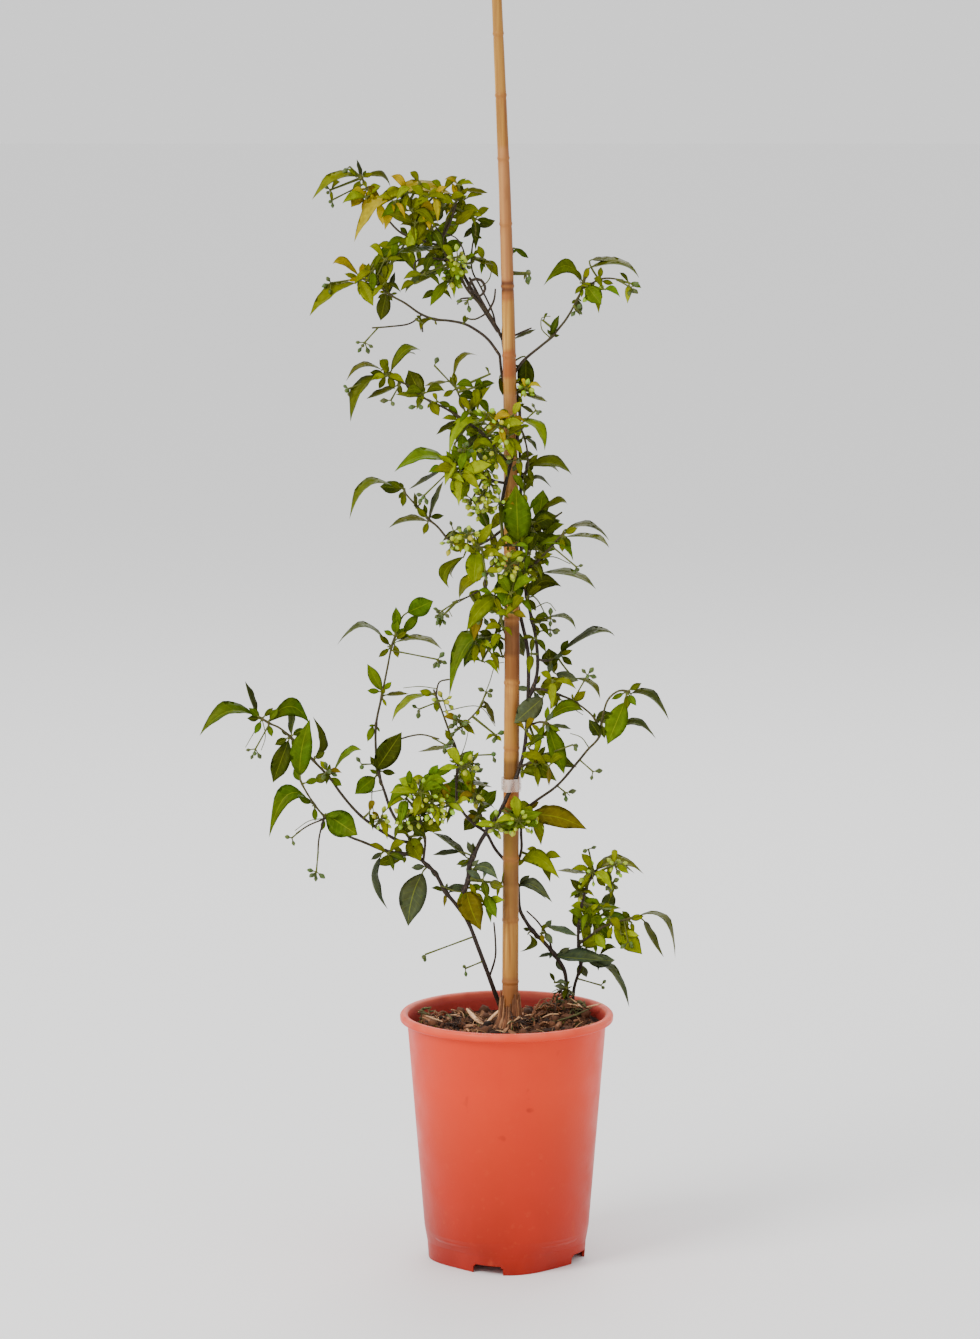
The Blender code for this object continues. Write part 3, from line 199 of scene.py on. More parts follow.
PLANT: dict[str, Stem] = {
    "stem_left": Stem("soil", (1.7, 1.25), [
        (-2, 140, 9), (-2, 171, 9), (-5, 181, 8), (-8, 189, 6), (-13, 203, 3), (-20, 222, 1), (-27, 240, 1),
        (-35, 252, 0), (-43, 262, -1), (-50, 275, -2), (-60, 285, -4), (-65, 295, -5), (-68, 300, -6),
    ], [
        ("g", 19, 12, -59, 275, -66, 258, -69, 237), ("g", 5, -9, -43, 263, -27, 266),
        ("o", 13, 14, -68, 299, -60, 284),
    ], [(-57, 217, 6, 3, 2), (-29, 207, 8, 2, 2)], [
        [(-11, 200, 3), (-8, 215, 5), (-8, 228, 6), (-9, 240, 7)],
    ]),
    "stem_twiner": Stem("stem_left", (1.55, 1.0), [
        (-34, 251, 0), (-30, 262, -2), (-27, 270, -3), (-26, 280, -4), (-22, 290, -5), (-17, 300, -6),
        (-10, 310, -7), (-4, 320, -8.6), (1, 331, -8.8), twined(345, -60), twined(360, -20, 2.0),
        twined(376, -5, 3.5), twined(400, 0, 4.5), twined(430, 10, 4.5), twined(450, 35, 2.2),
        twined(470, 70), twined(490, 100), twined(508, 135), twined(525, 175), twined(540, 215),
        twined(555, 250), twined(570, 285), twined(583, 320), twined(595, 355), twined(607, 395),
        twined(620, 430), twined(632, 465), twined(645, 488), twined(660, 480), twined(680, 450),
        twined(700, 430), twined(711, 412),
    ], [
        ("n", 17, 10, -28, 262, -25, 250, -18, 234), ("b", 8, 14, -15, 260, -7, 243),
        ("g", 8, 14, -24, 278, -14, 279, -6, 270), ("o", 7, 20, -12, 268, -2, 265),
        ("g", 4, -9, -33, 290, -52, 288), ("d", 3, -12, -28, 286, -40, 297, -52, 304),
        ("b", 13, 12, -10, 307, 8, 313, 25, 318), ("d", 12, 12, 13, 636, 13, 612),
        ("l", 5, 10, 8, 619, 20, 611), ("o", 3, 8, 10, 612, 28, 606), ("b", 4, -5, 5, 712, 15, 705),
        ("d", 3, -8, 10, 603, 19, 598), ("d", 4, 8, -5, 623, -3, 610), ("d", 3, -6, 6, 650, 20, 656),
    ], [(15, 695, 4, 2, 1)]),
    "stem_second": Stem("stem_twiner", (1.3, 1.0), [
        (14, 398, -1), twined(406, 0, 8.0), twined(420, 0, 11.0), twined(440, 5, 10.0), twined(460, 5, 6.0),
        twined(480, 12, 2.5), twined(500, 15, 0.8), twined(520, 10), twined(545, 5), twined(565, 12),
        twined(580, 40), twined(595, 80), twined(610, 115), twined(625, 145), twined(638, 172),
    ], [
        ("o", 12, 10, 23, 404, 40, 412), ("o", 3, 8, 26, 455, 40, 456, 48, 447),
        ("d", 11, -8, 17, 470, 25, 481, 38, 477), ("o", 4, -8, 25, 487, 48, 485, 62, 475),
        ("g", 15, 12, 25, 399, 5, 381),
    ], [(30, 447, 6, 6, 4)]),
    "stem_right": Stem("soil", (1.6, 1.0), [
        (42, 142, 25), (42, 186, 25), (41, 203, 22), (37, 212, 19), (31, 220, 16), (25, 227, 14),
        (18, 234, 12), (12, 243, 11), (9, 250, 10), (8, 262, 9.5), (6, 272, 9), (1, 281, 9), (-8, 292, 10),
        (-14, 303, 10), (-20, 308, 9), (-28, 315, 6), (-35, 325, 2),
    ], [
        ("y", 12, 12, 10, 284, 22, 286, 37, 271), ("g", 8, 12, 9, 266, 18, 267, 32, 254),
        ("g", 5, 8, 28, 237, 50, 230), ("d", 5, 14, 15, 232, 19, 224, 9, 219),
        ("g", 10, 8, 33, 216, 52, 215, 71, 213), ("d", 3, -9, -20, 311, -16, 324, -8, 320),
        ("g", 3, 6, 32, 218, 22, 215),
    ], twigs=[[(32, 218, 16), (29, 229, 12), (22, 240, 8), (14, 248, 4)]]),
    "stem_short": Stem("soil", (1.3, 0.9), [
        (46.5, 142, 30), (46.5, 186, 30), (50, 203, 26), (52, 210, 24), (50, 230, 20), (52, 250, 16),
        (55, 262, 14), (58, 270, 12), (63, 277, 10),
    ], [
        ("d", 5, 8, 58, 213, 75, 204, 86, 179), ("l", 10, 12, 53, 223, 66, 231),
        ("b", 6, 6, 55, 236, 58, 252), ("b", 5, -8, 58, 251, 80, 250),
        ("o", 7, -6, 62, 277, 78, 284, 96, 274), ("d", 6, 8, 54, 262, 44, 271),
        ("d", 5, -8, 54, 264, 47, 257), ("o", 3, 5, 56, 275, 35, 277), ("g", 10, 6, 57, 212, 76, 213),
    ], [(73, 268, 4, 6, 5), (57, 292, 2, 4, 2), (66, 195, 4, 4, 2)]),
    "shoot_short_right": Stem("stem_short", (0.95, 0.65), [
        (51, 224, 21), (58, 230, 14), (66, 236, 9), (76, 240, 5), (88, 243, 2),
    ], [
        ("y", 14, 8, 75, 238, 95, 217), ("o", 3.5, 6, 89, 243, 110, 243, 118, 214),
        ("o", 4, -6, 96, 241, 101, 230, 110, 215), ("l", 8, 8, 62, 232, 69, 221),
        ("b", 5, -8, 64, 237, 65, 246),
    ], [(85, 226, 8, 5, 3)]),
    "shoot_right_long": Stem("stem_right", (1.15, 0.7), [
        (6, 276, 9), (10, 290, 11), (10, 305, 11), (11, 318, 7), (20, 326, 0), (35, 337, -8),
        (48, 352, -15), (56, 362, -20), (64, 371, -24), (66, 382, -26), (70, 397, -28), (78, 404, -28),
        (86, 403, -28),
    ], [
        ("n", 15, 10, 15, 316, 35, 315, 56, 306), ("b", 15, 8, 82, 396, 70, 366),
        ("k", 4.5, -8, 86, 402, 101, 400, 113, 383), ("d", 5, -12, 80, 379, 92, 381, 104, 370),
        ("d", 8, 6, 65, 372, 57, 384),
    ], [(41, 332, -4, 4, 3), (60, 347, 4, 5, 2)]),
    "shoot_low_right": Stem("stem_twiner", (1.0, 0.7), [
        (9, 350, -7), (13, 352, -14), (18, 354, -20), (22, 358, -24),
    ], [("d", 8, -14, 23, 359, 49, 350), ("k", 14, 6, 11, 347, 22, 350, 35, 340)], [(46, 366, 2, 4, 2)]),
    "shoot_mid_front": Stem("stem_twiner", (1.0, 0.7), [
        (13, 378, -1), (17, 380, -8), (23, 382, -15), (29, 381, -20),
    ], [
        ("b", 9, -8, 28, 383, 42, 393, 54, 389), ("g", 3, 6, 31, 380, 45, 377),
        ("b", 12, 8, 29, 379, 40, 345),
    ]),
    "shoot_right_cluster": Stem("stem_second", (0.95, 0.65), [
        (17, 406, 0), (25, 405, -6), (34, 402, -8), (46, 397, -9), (58, 388, -9), (63, 381, -9),
    ], [("d", 8, -8, 62, 383, 72, 389), ("o", 6, 8, 47, 397, 55, 404), ("o", 5, 6, 36, 401, 30, 391)], [
        (56, 415, 4, 5, 4),
    ]),
    "shoot_mid_right": Stem("stem_second", (0.95, 0.65), [
        (20, 427, 1), (26, 425, 7), (33, 427, 14), (38, 431, 20),
    ], [
        ("d", 4, -10, 39, 432, 62, 446, 75, 442), ("d", 12, -4, 31, 420, 29, 434),
        ("g", 8, 6, 34, 416, 50, 411), ("o", 2.5, 8, 47, 413, 59, 409, 65, 398),
    ]),
    "shoot_right_front": Stem("stem_second", (1.0, 0.7), [
        (13, 489, 1), (19, 493, -6), (27, 501, -12), (35, 510, -17), (40, 515, -20),
    ], [
        ("d", 3, -8, 41, 517, 58, 520, 71, 509), ("o", 3, 8, 40, 512, 60, 512, 71, 504),
        ("b", 8, 8, 20, 505, 37, 509, 46, 495), ("o", 5, 6, 19, 498, 32, 500),
    ], [(48, 491, 4, 4, 3)]),
    "shoot_right_back": Stem("stem_second", (1.0, 0.7), [
        (10, 519, 2), (16, 519, 9), (24, 521, 18), (32, 525, 26), (38, 529, 32),
    ], [
        ("k", 5, -4, 22, 529, 36, 537, 42, 534), ("d", 14, -8, 17, 520, 34, 527),
        ("d", 8, 6, 17, 514, 31, 509), ("d", 9, -12, 33, 526, 26, 511),
    ]),
    "shoot_right_upper": Stem("stem_second", (0.95, 0.65), [
        (10, 551, 0), (14, 560, -7), (14, 572, -12), (11, 584, -15), (7, 592, -16),
    ], [
        ("l", 7, 8, 7, 594, 22, 588, 26, 572), ("d", 3, 5, 11, 581, 17, 578, 21, 571),
        ("k", 8, -10, 15, 561, 32, 564, 45, 555), ("d", 2.5, -10, 16, 551, 23, 553, 31, 546),
    ], [(20, 600, 4, 5, 3)]),
    "shoot_centre_front": Stem("stem_second", (1.0, 0.7), [
        (11, 503, 1), (12, 505, -9), (8, 506, -17), (-3, 506, -23), (-14, 505, -26), (-21, 504, -27),
    ], [
        ("b", 20, 8, 8, 508, 6, 548), ("o", 5, 6, 0, 514, -8, 501), ("b", 20, 6, 6, 487, -3, 463),
        ("l", 14, 6, -21, 503, -23, 479), ("l", 7, 12, -20, 507, -10, 522), ("o", 3, 8, 12, 517, 10, 507),
    ], [(1, 491, 8, 11, 10)], [[(6, 506, -19), (8, 496, -21), (7, 488, -21)]]),
    "shoot_centre_low": Stem("stem_twiner", (1.0, 0.7), [
        (-1, 499, 7), (-9, 493, 3), (-14, 486, -4), (-15, 478, -10), (-11, 472, -15), (-6, 469, -18),
    ], [("y", 12, 8, -6, 470, -18, 462, -28, 446), ("o", 8, -10, -13, 486, -28, 480, -33, 468)], [
        (-45, 460, 4, 7, 5),
    ], [[(-15, 477, -10), (-27, 470, -13), (-38, 466, -15)]]),
    "shoot_back_left": Stem("stem_twiner", (1.0, 0.7), [
        (4, 474, 7), (-1, 462, 13), (-6, 450, 15), (-9, 440, 14),
    ], [
        ("b", 12, 12, -10, 437, -28, 438, -40, 400), ("d", 12, -22, -8, 444, -22, 436, -30, 420),
        ("d", 11, -26, -4, 454, 6, 440, 12, 428),
    ]),
    "shoot_left_centre": Stem("stem_twiner", (1.05, 0.65), [
        (-5, 515, 2), (-14, 509, 5), (-25, 505, 7), (-38, 508, 10), (-48, 519, 13), (-54, 524, 15),
        (-62, 533, 18), (-70, 542, 21), (-71, 546, 22),
    ], [
        ("d", 9, -8, -72, 546, -88, 547), ("k", 6, 8, -78, 547, -97, 548, -109, 524),
        ("o", 3, -10, -55, 523, -70, 524, -82, 518), ("d", 4, 6, -54, 526, -44, 551),
        ("k", 8, 12, -30, 498, -43, 488, -40, 476), ("o", 3, 6, -63, 532, -64, 543),
    ], [(-37, 516, 6, 8, 5), (-22, 514, 6, 7, 5)]),
    "shoot_centre_left": Stem("stem_twiner", (1.05, 0.7), [
        (-1, 549, -7), (-9, 551, -14), (-19, 556, -20), (-29, 561, -25), (-38, 563, -28),
    ], [
        ("b", 9, 8, -40, 563, -58, 569, -78, 557), ("d", 3, -8, -46, 558, -68, 545),
        ("b", 8, 12, -26, 561, -39, 573), ("b", 7, 10, -22, 565, -19, 552),
        ("l", 14, 5, -32, 557, -33, 536),
    ], [(-57, 541, 4, 6, 4), (-18, 540, 8, 11, 10), (-29, 573, 5, 5, 4)]),
    "shoot_upper_left": Stem("stem_twiner", (1.1, 0.65), [
        (-1, 562, -9), (-8, 574, -13), (-18, 585, -14), (-28, 592, -15), (-42, 601, -16), (-58, 609, -18),
        (-68, 617, -19), (-78, 622, -20), (-85, 627, -21),
    ], [
        ("l", 8, 10, -13, 590, -31, 590, -40, 568), ("d", 5, -10, -20, 583, -31, 572),
        ("d", 13, -10, -59, 610, -68, 628), ("l", 4, 8, -59, 610, -77, 611),
        ("o", 3, 6, -76, 617, -97, 608), ("k", 7, -8, -80, 627, -70, 642, -59, 641),
        ("o", 3, 5, -86, 628, -100, 631, -111, 620), ("k", 8, 8, -87, 624, -101, 615, -108, 592),
        ("o", 4, -6, -37, 623, -31, 637, -20, 638), ("o", 2.5, 6, -41, 620, -57, 617),
        ("o", 7, 8, -52, 606, -47, 596), ("o", 6, 8, -28, 599, -11, 617), ("d", 4, 4, -34, 593, -49, 583),
    ], [
        (-109, 615, 2, 4, 3), (-13, 597, 8, 8, 6), (-80, 607, 4, 3, 2), (-61, 603, 5, 4, 2),
        (-50, 631, 4, 3, 1),
    ], [[(-26, 591, -15), (-31, 605, -11), (-37, 620, -8)]]),
    "shoot_top_right": Stem("stem_twiner", (1.1, 0.65), [
        (5, 624, 7), (11, 634, 4), (24, 645, -3), (30, 650, -6), (36, 657, -9), (42, 665, -12),
        (50, 680, -17), (54, 692, -20),
    ], [
        ("k", 10, 8, 51, 688, 40, 700, 25, 686), ("o", 3, -8, 56, 698, 78, 702, 91, 691),
        ("b", 12, 8, 55, 686, 65, 673), ("d", 6, -8, 48, 677, 50, 666), ("o", 3, -10, 58, 704, 78, 704),
        ("d", 5, 6, 30, 652, 36, 666),
    ], [(85, 685, 3, 4, 4)], [[(52, 684, -18), (66, 691, -16), (80, 690, -14)]]),
    "shoot_top_left": Stem("stem_second", (1.1, 0.65), [
        (-5, 641, 1), (-13, 649, 3), (-22, 656, 7), (-30, 660, 10), (-40, 662, 14), (-50, 663, 17),
        (-60, 667, 20), (-70, 674, 23), (-79, 679, 26), (-90, 687, 29), (-97, 690, 31), (-102, 692, 32),
    ], [
        ("o", 4, 6, -50, 663, -58, 661, -59, 654), ("d", 4, -8, -81, 681, -77, 696),
        ("o", 5, 5, -82, 683, -88, 694), ("o", 9, -12, -97, 692, -81, 706, -65, 701),
        ("b", 7, -6, -90, 703, -72, 720), ("h", 6, 8, -102, 693, -113, 703, -120, 701),
        ("y", 8, 12, -104, 688, -121, 681, -136, 665), ("y", 9, 10, -101, 690, -92, 672),
        ("d", 10, -10, -83, 681, -87, 662),
    ], [(-98, 647, 2, 8, 5), (-121, 688, 4, 7, 4)], [
        [(-58, 666, 20), (-67, 660, 17), (-80, 658, 15), (-93, 657, 13)],
    ]),
    "shoot_top": Stem("stem_twiner", (1.2, 0.7), [
        (-3, 647, 5), (-7, 657, 3), (-12, 666, 0), (-20, 675, -3), (-27, 683, -5), (-31, 690, -6),
        (-37, 698, -7), (-43, 710, -8), (-44, 720, -8), (-40, 733, -7), (-36, 742, -6), (-31, 749, -5),
    ], [
        ("o", 4, 8, -25, 706, -9, 700), ("d", 5, -12, -42, 697, -62, 690, -70, 681),
        ("b", 7, 10, -41, 690, -53, 672), ("o", 5, 6, -51, 700, -58, 703, -63, 697),
        ("d", 5, -12, -50, 712, -75, 709), ("o", 4, 4, -44, 716, -51, 718, -57, 713),
        ("o", 12, 10, -58, 739, -63, 716), ("h", 9, 12, -38, 749, -60, 754, -80, 748),
        ("h", 8, 10, -75, 748, -92, 740, -105, 716), ("o", 4, -6, -29, 752, -13, 750),
        ("o", 7, 6, -36, 728, -22, 739), ("d", 6, -8, -20, 727, -8, 731), ("d", 4, -6, -22, 727, -30, 719),
        ("d", 9, -10, -45, 741, -51, 730), ("l", 6, 10, -30, 692, -41, 703),
        ("l", 3, 5, -35, 755, -28, 760),
    ], [(-34, 706, 9, 8, 7), (-27, 676, 8, 6, 4)], [
        [(-8, 659, 3), (-10, 668, 5), (-18, 685, 7), (-24, 697, 8), (-24, 712, 9), (-21, 725, 10)],
        [(-44, 720, -8), (-51, 729, -12), (-58, 736, -15), (-66, 743, -19), (-73, 747, -22)],
        [(-13, 667, 0), (-22, 663, 3), (-30, 664, 5)],
    ]),
    "shoot_top_tip": Stem("shoot_top", (0.95, 0.65), [
        (-43, 713, -8), (-55, 716, 0), (-72, 722, 4), (-83, 733, 6), (-90, 742, 8), (-97, 755, 10),
        (-101, 763, 11),
    ], [
        ("d", 3, -4, -100, 760, -103, 773), ("y", 6, 8, -103, 761, -118, 760, -134, 745),
        ("o", 4, -10, -98, 761, -86, 762, -80, 754), ("h", 9, 8, -99, 752, -107, 740),
        ("h", 10, 10, -95, 752, -89, 740),
    ], [(-120, 745, 2, 4, 2), (-108, 768, 2, 2, 1)]),
    "shoot_left_back": Stem("stem_left", (1.2, 0.65), [
        (-68, 300, -6), (-76, 311, -3), (-81, 320, 1), (-85, 332, 6), (-89, 345, 12), (-91, 360, 17),
        (-91, 380, 22), (-87, 400, 27), (-83, 420, 31), (-80, 435, 34), (-76, 446, 36),
    ], [
        ("b", 14, -6, -69, 459, -51, 467), ("b", 7, 5, -76, 448, -77, 463),
        ("b", 7, -6, -72, 445, -61, 458), ("k", 3.5, 6, -82, 435, -99, 450, -118, 436),
        ("o", 2.5, 8, -78, 438, -60, 441, -45, 433), ("b", 8, -8, -87, 404, -97, 423),
        ("o", 3, -6, -84, 401, -68, 402), ("d", 16, 10, -91, 348, -73, 375),
        ("b", 12, 8, -92, 343, -106, 331), ("b", 5, 6, -93, 379, -97, 368),
    ], [(-48, 426, 3, 6, 5), (-43, 366, 2, 4, 3), (-101, 352, 4, 4, 2)], [
        [(-91, 352, 14), (-82, 366, 10), (-62, 373, 5), (-47, 370, 2)],
    ]),
    "shoot_inner_left": Stem("stem_right", (0.95, 0.65), [
        (-35, 325, 2), (-35, 342, 3), (-34, 358, 5), (-40, 375, 8), (-46, 392, 10), (-51, 405, 12),
    ], [
        ("y", 5, 5, -53, 402, -70, 396, -80, 382), ("o", 3, -8, -37, 365, -62, 361),
        ("o", 5, 6, -34, 384, -22, 373), ("d", 3, 5, -35, 341, -10, 336), ("b", 6, 8, -36, 352, -52, 343),
        ("o", 4, -6, -16, 397, -8, 380),
    ], [
        (-61, 391, 4, 4, 3), (-44, 397, 8, 9, 6), (-34, 378, 5, 6, 5), (-14, 403, 4, 5, 3),
        (-27, 352, 7, 8, 7), (-10, 359, 4, 4, 2),
    ], [
        [(-39, 372, 7), (-24, 386, 9), (-16, 396, 10)], [(-50, 402, 12), (-47, 410, 10), (-40, 412, 8)],
    ]),
    "shoot_left_whorl": Stem("stem_left", (1.0, 0.7), [
        (-58, 284, -4), (-57, 298, -11), (-60, 311, -15), (-63, 323, -18),
    ], [
        ("b", 9, 6, -63, 326, -54, 341, -38, 330), ("b", 9, 6, -65, 325, -75, 334, -83, 320),
        ("o", 8, 10, -59, 311, -45, 305), ("d", 7, -10, -61, 312, -76, 303),
        ("d", 6, 10, -57, 301, -67, 309),
    ], [(-71, 314, 8, 9, 7), (-49, 319, 8, 9, 8)]),
    "shoot_left_long": Stem("stem_left", (1.2, 0.7), [
        (-66, 297, -5), (-75, 298, -10), (-83, 302, -12), (-92, 308, -14), (-100, 314, -16),
        (-108, 322, -18), (-116, 332, -20), (-123, 342, -22), (-133, 353, -24), (-145, 366, -26),
        (-157, 377, -28), (-165, 381, -29), (-173, 386, -30),
    ], [
        ("m", 10, 8, -175, 386, -195, 390, -214, 372), ("d", 4, -6, -174, 388, -182, 411),
        ("m", 13, -10, -166, 382, -150, 393, -137, 380), ("d", 5, -10, -150, 373, -148, 397),
        ("d", 6, -8, -134, 357, -129, 368, -135, 386), ("d", 13, -8, -152, 369, -163, 339),
        ("b", 5, 6, -121, 347, -110, 361, -101, 362), ("k", 7, -8, -124, 345, -134, 340),
    ], [(-175, 363, 4, 8, 4)]),
    "shoot_left_low": Stem("stem_left", (1.1, 0.7), [
        (-58, 283, -4), (-68, 288, -13), (-85, 291, -20), (-100, 297, -26), (-110, 301, -30),
        (-117, 306, -33), (-126, 314, -37), (-133, 322, -40), (-140, 333, -43), (-144, 341, -45),
    ], [
        ("m", 15, 6, -144, 344, -143, 362, -137, 384), ("m", 13, 8, -135, 323, -153, 331, -166, 300),
        ("m", 19, 8, -126, 317, -104, 302), ("g", 5, 6, -88, 287, -93, 270, -83, 249),
        ("k", 8, -6, -71, 288, -92, 281),
    ], [(-133, 276, 2, 6, 5), (-150, 300, 2, 3, 2)], [
        [(-127, 315, -37), (-131, 300, -34), (-132, 286, -32)],
        [(-126, 314, -37), (-138, 309, -42), (-147, 303, -45)],
    ]),
    "shoot_back_low": Stem("stem_right", (1.0, 0.7), [
        (-14, 302, 10), (-15, 309, 24), (-20, 320, 40), (-27, 332, 54), (-32, 343, 66),
    ], [
        ("m", 12, -12, -33, 345, -40, 322), ("d", 11, -18, -33, 347, -25, 362),
        ("b", 11, 6, -27, 333, -8, 326), ("m", 12, 2, -26, 331, -45, 338),
        ("d", 10, -6, -19, 319, -30, 305), ("m", 9, -8, -19, 320, -7, 334),
    ], [(-24, 345, -2, 7, 5)]),
    "shoot_back_mid": Stem("stem_twiner", (1.0, 0.7), [
        (4, 484, 8), (7, 489, 22), (13, 498, 38), (18, 509, 54), (21, 521, 66),
    ], [
        ("m", 12, -14, 22, 523, 25, 545), ("d", 11, -20, 22, 523, 14, 505), ("b", 12, 2, 18, 510, 34, 503),
        ("m", 12, -4, 17, 508, 0, 516), ("d", 10, -4, 12, 497, 26, 484), ("m", 10, -6, 12, 497, -6, 490),
    ], [(30, 522, -6, 6, 4)]),
    "shoot_back_centre": Stem("stem_second", (1.0, 0.7), [
        (4, 591, 7), (2, 588, 20), (-5, 584, 34), (-13, 579, 47), (-19, 577, 58),
    ], [
        ("m", 12, -14, -20, 578, -36, 566), ("d", 10, -18, -20, 578, -12, 562),
        ("b", 11, 0, -13, 580, -30, 590), ("m", 11, -2, -12, 578, -10, 556), ("d", 9, -4, -4, 583, 12, 588),
        ("m", 8, -4, -3, 583, -14, 572),
    ], [(-24, 586, -4, 6, 4)]),
    "shoot_back_top": Stem("shoot_top", (0.9, 0.65), [
        (-36, 696, -7), (-39, 703, 8), (-45, 711, 24), (-50, 722, 38), (-54, 733, 50),
    ], [
        ("m", 11, -16, -55, 735, -68, 745), ("d", 10, -18, -54, 735, -42, 744),
        ("b", 10, 2, -50, 723, -69, 716), ("m", 11, 0, -49, 721, -32, 730),
        ("d", 10, -4, -44, 710, -58, 700), ("m", 9, -4, -44, 711, -30, 716),
    ], [(-60, 722, -6, 7, 5)]),
    "shoot_back_short": Stem("stem_short", (0.9, 0.65), [
        (51, 232, 20), (55, 236, 33), (61, 242, 46), (67, 245, 57),
    ], [
        ("m", 11, -14, 68, 246, 86, 238), ("d", 10, -16, 68, 246, 74, 262), ("b", 10, 2, 61, 243, 54, 260),
        ("m", 10, 0, 60, 241, 74, 228), ("d", 9, -2, 54, 236, 46, 246),
    ]),
}

